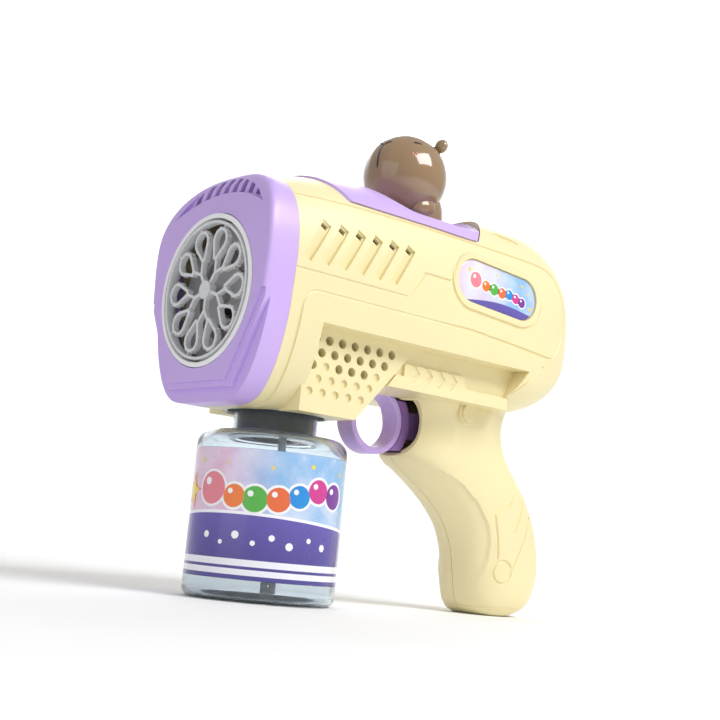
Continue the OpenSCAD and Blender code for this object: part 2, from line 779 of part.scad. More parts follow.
// Push switch behind the trigger stem
switch_y = 81;
module switch_body() {
    color(BLACK) difference() {
        translate([-3, switch_y, 79]) cube([6, 11, 7]);
        translate([0, switch_y - 1, 81.5]) rotate([-90, 0, 0]) cylinder(h = 9, r = 1.06, $fn = 24);
    }
}
module switch_plunger() {
    color([0.75, 0.15, 0.12]) translate([0, stem_end_y, 81.5]) rotate([-90, 0, 0]) {
        cylinder(h = 9, r = 1, $fn = 24);
        cylinder(h = 0.9, r = 1.8, $fn = 24);
    }
}
module switch_terminals() {
    color(BRASS) for (x = [-1.8, 1.8]) translate([x - 0.25, switch_y + 11, 81]) cube([0.5, 3.5, 2]);
}

// Tube pump in front of the gearbox
pump_y = -4.5;
pump_w = 9;
module pump_rotor() {
    color(WHITE) difference() {
        union() {
            rod_y(pump_c, pump_y, 1.6, 7.4);
            rod_y(pump_c, pump_y + pump_w - 1.6, 1.6, 7.4);
            rod_y(pump_c, pump_y, pump_w, 2.6);
        }
        rod_y(pump_c, pump_y - 1, 20, 1.5);
        for (k = [0:2]) roller_at(k, 0.85, 20);
    }
    color(STEEL) rod_y(pump_c, pump_y, 22, 1.5);
}
module roller_at(k, r, len) {
    translate([pump_c[0], pump_y + pump_w / 2 + len / 2, pump_c[1]]) rotate([90, 120 * k, 0])
        translate([5.2, 0, 0]) cylinder(h = len, r = r, $fn = 24);
}
module pump_rollers() {
    color(STEEL) for (k = [0:2]) {
        roller_at(k, 2.1, pump_w - 3.6);
        roller_at(k, 0.8, pump_w);
    }
}
module pump_shoe() {
    color(GREY) difference() {
        rod_y(pump_c, pump_y - 0.4, front_plate_y - pump_y + 0.4, 12.4);
        rod_y(pump_c, pump_y - 2, pump_w + 2.6, 11);
        rod_y(pump_c, pump_y, 30, 3);
        translate([pump_c[0] - 20, pump_y - 1, pump_c[1] - 20]) cube([20, 12, 20]);
        for (c = pillars_c) rod_y(c, front_plate_y - 3, 5, 3);
        translate([-5, pump_y - 5, 75]) cube([40, 20, 11.9]);
    }
}

// Soft tubes, each along a route held by the parts it joins
function bezier(p, t) = pow(1 - t, 3) * p[0] + 3 * t * pow(1 - t, 2) * p[1]
    + 3 * t * t * (1 - t) * p[2] + pow(t, 3) * p[3];
pump_mid_y = pump_y + pump_w / 2;
function on_pump(a) = [pump_c[0] + 9.4 * cos(a), pump_mid_y, pump_c[1] + 9.4 * sin(a)];
feed_route = concat([for (a = [10:20:90]) on_pump(a)],
    [for (t = [0.2:0.2:1]) bezier([on_pump(90), [9.1, pump_mid_y, 106.7], [9, -3, 107], [10, -7, 105.2]], t)],
    [for (t = [0.2:0.2:1]) bezier([[10, -7, 105.2], [10.6, -9.5, 104.2], [12, -11, 104], [12, -14, 104]], t)],
    [for (t = [0.2:0.2:1]) bezier([[12, -14, 104], [12, -20, 104], [4.6, -18, 109.2], [4.6, -24.2, 109.2]], t)]);
module feed_tube() {
    color(CLEAR) sweep(feed_route, 1.4, 8);
}
suction_route = concat([for (a = [-6:-20:-66]) on_pump(a)],
    [for (t = [0.1:0.1:1]) bezier([on_pump(-66), [10, pump_mid_y, 86.6], [6, 0, 92], [6, 0, 88.15]], t)]);
module suction_tube() {
    color(CLEAR) sweep(suction_route, 1.4, 8);
}

// Bottle, its screw thread and the socket it screws into
thread_pitch = 4;
thread_turns = 1.5;
bottle_h = 65;
neck_top = 82;
socket_top = 86.2;
module thread(r_root, r_tip, z, turns, flip) {
    steps = 24;
    loft([for (i = [0:steps * turns])
        let (a = 360 * i / steps, zz = z + thread_pitch * i / steps, e = flip ? 0.5 : 0.45)
        [for (p = flip ? [[r_root, -e - 0.3], [r_root, e + 0.3], [r_tip, e], [r_tip, -e]]
                : [[r_tip, -e], [r_tip, e], [r_root, e + 0.3], [r_root, -e - 0.3]])
            [p[0] * cos(a), p[0] * sin(a), zz + p[1]]]]);
}
module bottle() {
    color(CLEAR) difference() {
        union() {
            rotate_extrude($fn = 64) polygon(concat([[0, 0], [bottle_d / 2 - 3, 0]],
                [for (a = [-60:30:0]) [bottle_d / 2 - 3 + 3 * cos(a), 3 + 3 * sin(a)]],
                [for (a = [0:15:90]) [bottle_d / 2 - 6 + 6 * cos(a), bottle_h - 6 + 6 * sin(a)]],
                [[neck_r, bottle_h], [neck_r, neck_top], [0, neck_top]]));
            thread(neck_r - 0.2, neck_r + 1.6, 75, thread_turns, false);
        }
        rotate_extrude($fn = 64) polygon(concat([[0, 1.4], [bottle_d / 2 - 3, 1.4]],
            [[bottle_d / 2 - 1.3, 4], [bottle_d / 2 - 1.3, bottle_h - 6]],
            [for (a = [30:30:90]) [bottle_d / 2 - 6 + 4.7 * cos(a), bottle_h - 6 + 4.7 * sin(a)]],
            [[neck_r - 1.6, bottle_h - 1.3], [neck_r - 1.6, neck_top + 1], [0, neck_top + 1]]));
        difference() {
            translate([0, 0, label_z0]) cylinder(h = label_z1 - label_z0, r = bottle_d / 2 + 1);
            translate([0, 0, label_z0 - 1]) cylinder(h = 60, r = bottle_d / 2 - 0.3);
        }
    }
}
label_z0 = 8.3;
label_z1 = 57;
module bottle_label() {
    color([0.72, 0.78, 0.95]) translate([0, 0, label_z0]) difference() {
        cylinder(h = label_z1 - label_z0, r = bottle_d / 2);
        translate([0, 0, -1]) cylinder(h = 60, r = bottle_d / 2 - 0.3);
    }
}
module bottle_insert() {
    color(BLACK) translate([0, 0, 66]) difference() {
        cylinder(h = 15.8, r = neck_r - 1.6);
        translate([0, 0, -1]) cylinder(h = 18, r = 9);
    }
}
module seal_ring() {
    color(BLACK) tube_z(neck_top + 0.05, 1.9, 16.6, 12);
}
module tube_z(z, h, r_out, r_in) {
    translate([0, 0, z]) difference() {
        cylinder(h = h, r = r_out);
        translate([0, 0, -1]) cylinder(h = h + 2, r = r_in);
    }
}
module bottle_socket() {
    color(WHITE) {
        tube_z(floor_z + 0.4, socket_top - floor_z - 0.4, 21.1, 19.5);
        thread(19.7, 17.6, 77, thread_turns, true);
        difference() {
            rod_z(0, 0, socket_top - 2, 2, 19.8);
            translate([6, 0, 80]) cylinder(h = 8, r = 1.62);
            translate([drain[0], drain[1], 80]) cylinder(h = 8, r = 2.2);
        }
    }
}
module dip_tube() {
    color(CLEAR) difference() {
        translate([6, 0, 9]) cylinder(h = 79, r = 1.6);
        translate([6, 0, 8]) cylinder(h = 82, r = 1);
    }
}
module tube_filter() {
    color(BLUE_GREY) difference() {
        translate([6, 0, 3]) cylinder(h = 9, r = 3);
        translate([6, 0, 9]) cylinder(h = 9, r = 1.6);
        for (a = [0:60:179]) translate([6, 0, 6]) rotate([90, 0, a])
            cylinder(h = 10, r = 0.6, center = true, $fn = 16);
    }
}
// Batteries in a tray that leans in the grip
cell_r = 7;
cell_len = 49.2;
cell_gap = 7.1;
contact_z = 25.8;
module at_cells() {
    in_pack() for (x = [-cell_gap, cell_gap], y = [-cell_gap, cell_gap])
        translate([x, y, 0]) mirror([0, 0, x * y > 0 ? 0 : 1]) children();
}
module batteries() {
    at_cells() {
        color([0.2, 0.5, 0.35]) cylinder(h = cell_len, r = cell_r, center = true);
        color(STEEL) translate([0, 0, cell_len / 2]) cylinder(h = 1.1, r = 2.6);
    }
}
module battery_tray() {
    color(GREY) difference() {
        in_pack() translate([0, 0, -28]) linear_extrude(57.6)
            hull() for (x = [-cell_gap, cell_gap], y = [-cell_gap, cell_gap])
                translate([x, y]) circle(r = 6.9);
        at_cells() cylinder(h = 2 * contact_z + 1, r = cell_r + 0.05, center = true);
        cover_screw_hole(-20, 12, 1.25);
    }
}
module battery_springs() {
    color(STEEL) at_cells() rod_ring(-contact_z + 0.02, 1.16, 2.6, 1.8);
}
module rod_ring(z, h, r_out, r_in) {
    translate([0, 0, z]) difference() {
        cylinder(h = h, r = r_out);
        translate([0, 0, -1]) cylinder(h = h + 2, r = r_in);
    }
}
module battery_contacts() {
    color(BRASS) at_cells() {
        translate([0, 0, contact_z]) cylinder(h = 0.45, r = 5);
        translate([0, 0, -contact_z - 0.45]) cylinder(h = 0.45, r = 5);
    }
}

// Wires from the battery tray past the fan to the motor
function spline(p, n) = [for (i = [0:len(p) - 2], k = [0:n - 1])
    let (a = p[max(i - 1, 0)], b = p[i], c = p[i + 1], d = p[min(i + 2, len(p) - 1)], t = k / n)
    0.5 * (2 * b + t * (c - a) + t * t * (2 * a - 5 * b + 4 * c - d) + t * t * t * (3 * b - a - 3 * c + d))];
module motor_wires() {
    color([0.75, 0.12, 0.1]) sweep(spline([[6.5, 106, 71.5], [7, 106, 80], [9, 110, 92], [20, 98, 110],
        [31.4, 76, 119], [31.4, 54, 119], [22, 52.5, 124], [17.4, 53.5, 127]], 4), 0.6, 6);
    color(BLACK) sweep(spline([[-6.5, 106, 71.5], [-6, 106, 82], [4, 109, 96], [19, 98, 114],
        [31.4, 76, 122], [31.4, 54, 122], [22, 52.5, 128], [17.4, 53.5, 130.4]], 4), 0.6, 6);
}

housing_left();
housing_right();
nose_bezel();
nose_ring();
bubble_wheel();
wheel_shaft();
wheel_gear();
air_baffle();
drip_tray();
feed_nozzle();
saddle_trim();
figure_body();
figure_head();
figure_ears();
badge_left();
badge_right();
trigger_ring();
trigger_spring();
switch_body();
switch_plunger();
switch_terminals();
motor_can();
motor_endcap();
motor_shaft();
motor_armature();
motor_pinion();
fan_impeller();
fan_housing();
air_duct();
gearbox_front();
gearbox_rear();
gearbox_pillars();
gear_first();
gear_second();
gear_axles();
pump_rotor();
pump_rollers();
pump_gear();
pump_shoe();
feed_tube();
suction_tube();
dip_tube();
tube_filter();
bottle_socket();
seal_ring();
bottle();
bottle_label();
bottle_insert();
battery_tray();
batteries();
battery_contacts();
battery_springs();
battery_cover();
cover_screw();
housing_screws();
motor_wires();
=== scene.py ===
"""Looks of the bubble machine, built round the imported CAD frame.

Shapes are worked out in millimetres in the frame's own axes (nose at -Y, +Z up) and are
turned into metres as each mesh is made.
"""
import math

import bmesh
import bpy
from mathutils import Euler, Matrix, Vector


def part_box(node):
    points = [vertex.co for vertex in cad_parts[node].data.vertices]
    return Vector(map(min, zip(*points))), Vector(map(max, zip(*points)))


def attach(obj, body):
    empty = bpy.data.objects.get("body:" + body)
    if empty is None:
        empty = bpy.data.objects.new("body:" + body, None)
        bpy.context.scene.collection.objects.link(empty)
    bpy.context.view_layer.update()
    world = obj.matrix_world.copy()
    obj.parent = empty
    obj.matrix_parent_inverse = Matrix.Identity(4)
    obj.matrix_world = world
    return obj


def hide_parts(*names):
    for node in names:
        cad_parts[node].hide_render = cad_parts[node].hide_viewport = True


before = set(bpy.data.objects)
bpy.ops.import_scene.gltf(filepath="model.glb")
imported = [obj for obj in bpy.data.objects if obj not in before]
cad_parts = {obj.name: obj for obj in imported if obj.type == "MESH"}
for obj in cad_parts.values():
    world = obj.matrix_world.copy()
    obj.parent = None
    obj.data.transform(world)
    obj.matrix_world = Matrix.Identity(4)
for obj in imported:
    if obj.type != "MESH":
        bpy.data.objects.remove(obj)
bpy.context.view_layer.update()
MM = 0.001

# ---------------------------------------------------------------- driving sizes (mm)
HALF_W = 39.5
TOP_Z = 173.5
WALL = 2.5
# The nose bezel runs from FRONT_Y to the housing's front edge, with a front NOSE_FRONT thick
FRONT_Y = -40.0
SEAM_Y = -27.0
NOSE_FRONT = 5.1
WHEEL_Z = 116.5
# The body's section is centred on MID_Z and closes over REAR_REACH behind REAR_MID_Y
MID_Z = 127.5
REAR_MID_Y = 98.0
REAR_REACH = 54.0
# FLOOR_Z is the underside near the nose and SPINE_Z the one behind its slope; LEDGE_Z is the side
# pocket's ceiling, POCKET_X its wall, and PANEL_X the face of the panel inside it
FLOOR_Z = 73.0
SPINE_Z = 89.0
LEDGE_Z = 106.5
POCKET_X = 28.3
PANEL_X = 30.0
RING_Y, RING_Z = 49.5, 78.0
BADGE_Y, BADGE_Z = 81.0, 137.5
# The bottle's recess for its label
LABEL_Z0, LABEL_Z1 = 8.3, 57.0
HEAD = Vector((0, 57, 187))
HEAD_R = 19.0
# Half the gap that shows between the housing halves
SEAM_GAP = 0.14
# The battery cover: its middle, and its lean in degrees
DOOR_Y, DOOR_Z, DOOR_LEAN = 118.5, 42.0, 33.0
# Where the grip's surface ends inside the body, and the last section of the body
GRIP_TOP = 94
REAR_END = 151.7


# ---------------------------------------------------------------- mesh helpers
def link(ob):
    bpy.context.scene.collection.objects.link(ob)
    return ob


def solid(name, verts, faces):
    """A closed mesh with its faces turned outwards; points in millimetres."""
    me = bpy.data.meshes.new(name)
    me.from_pydata([Vector(v) * MM for v in verts], [], faces)
    bm = bmesh.new()
    bm.from_mesh(me)
    bmesh.ops.remove_doubles(bm, verts=bm.verts, dist=1e-7)
    bmesh.ops.recalc_face_normals(bm, faces=bm.faces)
    bm.to_mesh(me)
    bm.free()
    return link(bpy.data.objects.new(name, me))


def loft(name, rings, ring_closed=True):
    n, m = len(rings[0]), len(rings)
    verts = [p for r in rings for p in r]
    faces = []
    last = n if ring_closed else n - 1
    for j in range(m - 1):
        for i in range(last):
            a, b = j * n + i, j * n + (i + 1) % n
            faces.append((a, b, b + n, a + n))
    faces.append(tuple(range(n - 1, -1, -1)))
    faces.append(tuple(range((m - 1) * n, m * n)))
    return solid(name, verts, faces)


def prism(name, outline, axis, lo, hi):
    """An outline drawn in the two other axes (in X, Y, Z order), extruded along axis."""
    def at(p, t):
        v = list(p)
        v.insert(axis, t)
        return v
    return loft(name, [[at(p, lo) for p in outline], [at(p, hi) for p in outline]])


def box_outline(u0, u1, v0, v1):
    return [(u0, v0), (u1, v0), (u1, v1), (u0, v1)]


def circle(u, v, r, n=28):
    return [(u + r * math.cos(math.tau * i / n), v + r * math.sin(math.tau * i / n)) for i in range(n)]


def rod(name, centre, axis, r0, r1, lo, hi, n=64):
    def ring(r, t):
        pts = []
        for i in range(n):
            a = math.tau * i / n
            v = [centre[0] + r * math.cos(a), centre[1] + r * math.sin(a)]
            v.insert(axis, t)
            pts.append(v)
        return pts
    return loft(name, [ring(r0, lo), ring(r1, hi)])


def revolve(name, profile, centre, axis=2, n=96):
    """Closed profile of (radius, along) points turned about an axis through centre."""
    rings = []
    for i in range(n):
        a = math.tau * i / n
        ring = []
        for r, t in profile:
            v = [r * math.cos(a), r * math.sin(a)]
            v.insert(axis, t)
            ring.append([v[k] + centre[k] for k in range(3)])
        rings.append(ring)
    m = len(profile)
    verts = [p for r in rings for p in r]
    faces = [(j * m + i, j * m + (i + 1) % m, ((j + 1) % n) * m + (i + 1) % m, ((j + 1) % n) * m + i)
             for j in range(n) for i in range(m)]
    return solid(name, verts, faces)


def tube(name, path, r, sides=10, closed=False):
    """A round tube along points."""
    pts = [Vector(p) for p in path]
    n = len(pts)
    rings = []
    side = None
    for i, p in enumerate(pts):
        a = pts[(i - 1) % n] if closed or i else p
        b = pts[(i + 1) % n] if closed or i < n - 1 else p
        t = (b - a).normalized()
        if side is None:
            side = t.cross(Vector((0.3, 0.2, 1))).normalized()
        side = (side - t * side.dot(t)).normalized()
        up = t.cross(side)
        rad = r(i / (n - 1)) if callable(r) else r
        rings.append([p + (side * math.cos(math.tau * k / sides) + up * math.sin(math.tau * k / sides)) * rad
                      for k in range(sides)])
    if not closed:
        return loft(name, rings)
    verts = [p for q in rings for p in q]
    faces = [(j * sides + k, j * sides + (k + 1) % sides,
              ((j + 1) % n) * sides + (k + 1) % sides, ((j + 1) % n) * sides + k)
             for j in range(n) for k in range(sides)]
    return solid(name, verts, faces)


def bake(ob):
    """Applies the object's modifiers."""
    dg = bpy.context.evaluated_depsgraph_get()
    me = bpy.data.meshes.new_from_object(ob.evaluated_get(dg))
    ob.modifiers.clear()
    ob.data = me
    return ob


def boolean(ob, cutters, operation="DIFFERENCE"):
    """One exact boolean per group of cutters, which are used up."""
    for c in cutters:
        m = ob.modifiers.new("cut", "BOOLEAN")
        m.operation = operation
        m.solver = "EXACT"
        m.object = c
        bake(ob)
    for c in cutters:
        bpy.data.objects.remove(c)
    return ob


def group(name, parts):
    """Several separate closed meshes as one object."""
    bm = bmesh.new()
    for p in parts:
        bm.from_mesh(p.data)
        bpy.data.objects.remove(p)
    me = bpy.data.meshes.new(name)
    bm.to_mesh(me)
    bm.free()
    return link(bpy.data.objects.new(name, me))


def mirrored(ob, name):
    me = ob.data.copy()
    me.transform(Matrix.Scale(-1, 4, (1, 0, 0)))
    me.flip_normals()
    return link(bpy.data.objects.new(name, me))


def smooth(ob, angle=32):
    ob.data.shade_smooth()
    ob.data.set_sharp_from_angle(angle=math.radians(angle))
    return ob


def spline(pts, n=8):
    """Catmull-Rom curve through points."""
    out = []
    vs = [Vector(p) for p in pts]
    for i in range(len(vs) - 1):
        a, b, c, d = vs[max(i - 1, 0)], vs[i], vs[i + 1], vs[min(i + 2, len(vs) - 1)]
        for k in range(n):
            t = k / n
            out.append(0.5 * (2 * b + t * (c - a) + t * t * (2 * a - 5 * b + 4 * c - d)
                              + t ** 3 * (3 * b - a - 3 * c + d)))
    out.append(vs[-1])
    return out


def polyline(pts, step=1.5):
    out = []
    for a, b in zip(pts, pts[1:]):
        a, b = Vector(a), Vector(b)
        n = max(1, int((b - a).length / step))
        out += [a + (b - a) * k / n for k in range(n)]
    out.append(Vector(pts[-1]))
    return out


# ---------------------------------------------------------------- body surface
def power(v, p):
    return math.copysign(abs(v) ** p, v)


def closing(t, p):
    return 1 if t <= 0 else 0 if t >= 1 else (1 - t ** p) ** (1 / p)


def section(y, inset=0.0):
    """Half width, height above and below the middle, and rearward share at y."""
    t = (y - REAR_MID_Y) / REAR_REACH
    rear = min(max((y - 45) / 30, 0), 1)
    top_at = TOP_Z - 9.5 * math.exp(-(y - SEAM_Y) / 30)
    base = FLOOR_Z + (SPINE_Z - 1 - FLOOR_Z) * rear
    w = max(HALF_W * closing(t, 2.3) - inset, 0.6)
    top = max((top_at - MID_Z) * closing(t, 2.2) - inset, 0.6)
    low = max((MID_Z - base) * closing(t, 2.2) - inset, 0.6)
    return w, top, low, rear


def body_point(y, a, inset=0.0):
    w, top, low, rear = section(y, inset)
    n = 2.7 if math.sin(a) > 0 else 6 - 2.8 * rear
    x = w * power(math.cos(a), 2 / n)
    s = power(math.sin(a), 2 / n)
    if s < 0:
        x *= 1 - 0.3 * s * s * (1 - rear)
    return x, y, MID_Z + s * (low if s < 0 else top)


def skin_x(y, z, inset=0.0):
    """Half width of the body at y and z."""
    w, top, low, rear = section(y, inset)
    s = (z - MID_Z) / (top if z > MID_Z else low)
    s = max(-0.999, min(0.999, s))
    n = 2.7 if s > 0 else 6 - 2.8 * rear
    sin_a = abs(s) ** (n / 2)
    x = w * math.sqrt(1 - sin_a * sin_a) ** (2 / n)
    if s < 0:
        x *= 1 - 0.3 * s * s * (1 - rear)
    return x


def skin_top(x, y, inset=0.0):
    """Height of the body's top at x and y."""
    w, top, _, _ = section(y, inset)
    c = min(abs(x) / w, 0.999) ** 1.35
    return MID_Z + top * math.sqrt(1 - c * c) ** (2 / 2.7)


def on_skin(path, lift=0.0):
    return [(skin_x(y, z) + lift, y, z) for y, z in path]


# The angles are spread in equal steps round the half section
HALF_ANGLES = [math.radians(-90 + 180 * i / 84) for i in range(85)]
# Close to the ends of the lower quarter the section is nearly flat, and needs few points
body_ys = [SEAM_Y + 3.125 * i for i in range(40)] + [
    REAR_MID_Y + REAR_REACH * math.sin(math.radians(a)) for a in range(2, 89, 3)]


def body_half(name, inset=0.0, start=SEAM_Y, coarse=1):
    ys = [y for y in body_ys if y <= REAR_END - inset][::coarse]
    ys[0] = start
    return loft(name, [[(max(x, SEAM_GAP), y, z) for x, y, z in
                        (body_point(y, a, inset) for a in HALF_ANGLES[::coarse])] for y in ys])


def body_full(name, inset):
    ys = [y for y in body_ys if y <= REAR_END - inset]
    angles = [math.radians(180 * i / 84) for i in range(85)]
    angles += [math.radians(180 + 180 * i / 30) for i in range(1, 30)]
    return loft(name, [[body_point(y, a, inset) for a in angles] for y in ys])


# Grip: height, front, back, half width
GRIP = [(0, 116, 134, 12.5), (1, 113, 138, 14.2), (2.5, 111, 142, 15.5), (5, 109.2, 146.4, 16.8),
        (8, 108, 149, 17.5), (18, 106, 152, 18.5), (28, 104, 151.5, 18.5), (38, 99, 149, 18.5),
        (47, 89.5, 145, 18.5), (54, 79, 141, 18.5), (60, 68.5, 136, 18), (64.5, 61, 132, 18),
        (71, 60, 126, 18), (80, 61, 122, 18.5), (88, 60, 122, 20), (94, 60, 124, 22)]


def grip_row(z):
    for a, b in zip(GRIP, GRIP[1:]):
        if z <= b[0]:
            t = (z - a[0]) / (b[0] - a[0])
            return [a[k] + (b[k] - a[k]) * t for k in (1, 2, 3)]
    return list(GRIP[-1][1:])


def grip_row_smooth(z):
    """The grip's rows, rounded over a few millimetres of height."""
    spread = min(4.0, z * 0.5)
    rows = [grip_row(min(max(z + spread * k / 2, 0), GRIP_TOP)) for k in (-2, -1, 0, 1, 2)]
    return [sum(w * r[i] for w, r in zip((1, 2, 3, 2, 1), rows)) / 9 for i in range(3)]


FACET = [(14, 109), (24, 112), (32, 112), (40, 109), (48, 102), (55.7, 91), (59.5, 80), (62, 66)]


def facet_y(z):
    for a, b in zip(FACET, FACET[1:]):
        if a[0] <= z <= b[0]:
            return a[1] + (b[1] - a[1]) * (z - a[0]) / (b[0] - a[0])
    return -99


def grip_x(y, z):
    front, back, w = grip_row_smooth(z)
    t = min(abs(y - (front + back) / 2) / ((back - front) / 2), 0.999)
    return w * (1 - t ** 2.6) ** (1 / 2.6)


def grip_half(name, inset=0.0, lift=0.0, detail=True):
    step = 1.4 if detail else 6
    zs = [lift] + [z for z in (step * k for k in range(1, 200)) if lift + 0.5 < z < GRIP_TOP] + [GRIP_TOP]
    if detail:
        zs = sorted(set(zs + [0.4, 0.9, 2.1]))
    count = 110 if detail else 24
    rings = []
    for z in zs:
        front, back, w = grip_row_smooth(z)
        mid, deep, w = (front + back) / 2, (back - front) / 2 - inset, w - inset
        ring = []
        for i in range(count + 1):
            a = math.pi * i / count - math.pi / 2
            x = w * power(math.cos(a), 2 / 2.6)
            y = mid + deep * power(math.sin(a), 2 / 2.6)
            if detail:
                # the finger facet on the front is hollowed up to a clear edge
                ahead = facet_y(z) - y
                if ahead > 0:
                    x -= min(1.5, 0.9 + 0.06 * ahead) * min(1, x / 6)
                # dish behind the finger ring
                d = math.hypot((y - 62) / 21, (z - 78) / 12.5)
                if d < 1:
                    x -= 1.6 * (1 - d * d) ** 0.5 * min(1, x / 6)
            ring.append((max(x, SEAM_GAP), y, z))
        rings.append(ring)
    return loft(name, rings)


def under_body(drop):
    pts = [(-60, 40), (-60, FLOOR_Z - drop), (16 + drop, FLOOR_Z - drop),
           (31 + drop, SPINE_Z - drop), (160, SPINE_Z - drop), (160, 40)]
    return prism("under", pts, 0, -60, 60)


def side_pocket(grow):
    outline = [(-10.3 - grow, 55), (99.7 + grow, 55), (99.7 + grow, 94), (106 + grow, LEDGE_Z + grow),
               (-10.3 - grow, LEDGE_Z + grow)]
    return prism("pocket", outline, 0, POCKET_X - grow, 70)


# Underside and dip of the saddle trim, drawn from the side as (y, z)
SADDLE_BASE = [(-13, 157.4), (0, 157), (20, 156.8), (45, 156.8), (70, 156.8), (77, 159.5), (83, 164.5),
               (90, 173)]
SADDLE_DIP = [(2, 175), (8, 173.6), (16, 170.4), (24, 166), (31, 163), (38, 161.6), (55, 161.6), (72, 161.6),
              (78, 164.4), (84, 169.6), (90, 177)]


def saddle_line(line, n=6):
    return [(p[0], p[1]) for p in spline([(a, b, 0) for a, b in line], n)]


def saddle_height(y):
    c = saddle_line(SADDLE_DIP)
    for a, b in zip(c, c[1:]):
        if a[0] <= y <= b[0]:
            return a[1] + (b[1] - a[1]) * (y - a[0]) / (b[0] - a[0])
    return c[-1][1]


def saddle_cut(line, lift=0.0):
    pts = [(line[0][0], 196)] + [(y, z + lift) for y, z in saddle_line(line)] + [(line[-1][0], 196)]
    return prism("saddle", pts, 0, -60, 60)


def stadium(c0, c1, r, n=24):
    """Outline round two centres, for prisms."""
    (u0, v0), (u1, v1) = c0, c1
    base = math.atan2(v1 - v0, u1 - u0)
    pts = []
    for centre, turn in (((u1, v1), -math.pi / 2), ((u0, v0), math.pi / 2)):
        for i in range(n + 1):
            a = base + turn + math.pi * i / n
            pts.append((centre[0] + r * math.cos(a), centre[1] + r * math.sin(a)))
    return pts


def badge_outline(r):
    return stadium((BADGE_Y - 15, BADGE_Z + 1), (BADGE_Y + 15, BADGE_Z - 1), r)


def saddle_plan(grow):
    """Outline of the trim from above: a blunt front and a longer round rear."""
    pts = [((40 + grow) * math.cos(math.radians(a)), 54 + (33 + grow) * math.sin(math.radians(a)))
           for a in range(0, 181, 3)]
    pts += [((40 + grow) * math.cos(math.radians(a)), 14 + (25 + grow) * math.sin(math.radians(a)))
            for a in range(180, 361, 3)]
    return prism("plan", pts, 2, 100, 210)


def well(r, lo, hi):
    return prism("well", stadium((0, 46), (0, 66), r, 32), 2, lo, hi)


def block(centre, size, turn_x=0.0, turn_y=0.0):
    """A box, turned about X or Y."""
    rot = Matrix.Rotation(math.radians(turn_x), 3, "X") @ Matrix.Rotation(math.radians(turn_y), 3, "Y")
    c = Vector(centre)
    corners = [c + rot @ Vector((sx * size[0] / 2, sy * size[1] / 2, sz * size[2] / 2))
               for sz in (-1, 1) for sx, sy in ((-1, -1), (1, -1), (1, 1), (-1, 1))]
    return loft("block", [corners[:4], corners[4:]])


# ---------------------------------------------------------------- housing halves
def groove(path, r=0.68, lift=0.0, closed=False):
    return tube("groove", on_skin([(p[0], p[1]) for p in path], lift), r, 8, closed)


def arc(cy, cz, ry, rz, a0, a1, n=14):
    return [(cy + ry * math.cos(math.radians(a0 + (a1 - a0) * i / n)),
             cz + rz * math.sin(math.radians(a0 + (a1 - a0) * i / n)), 0) for i in range(n + 1)]


def flat(pts):
    return [(a, b, 0) for a, b in pts]


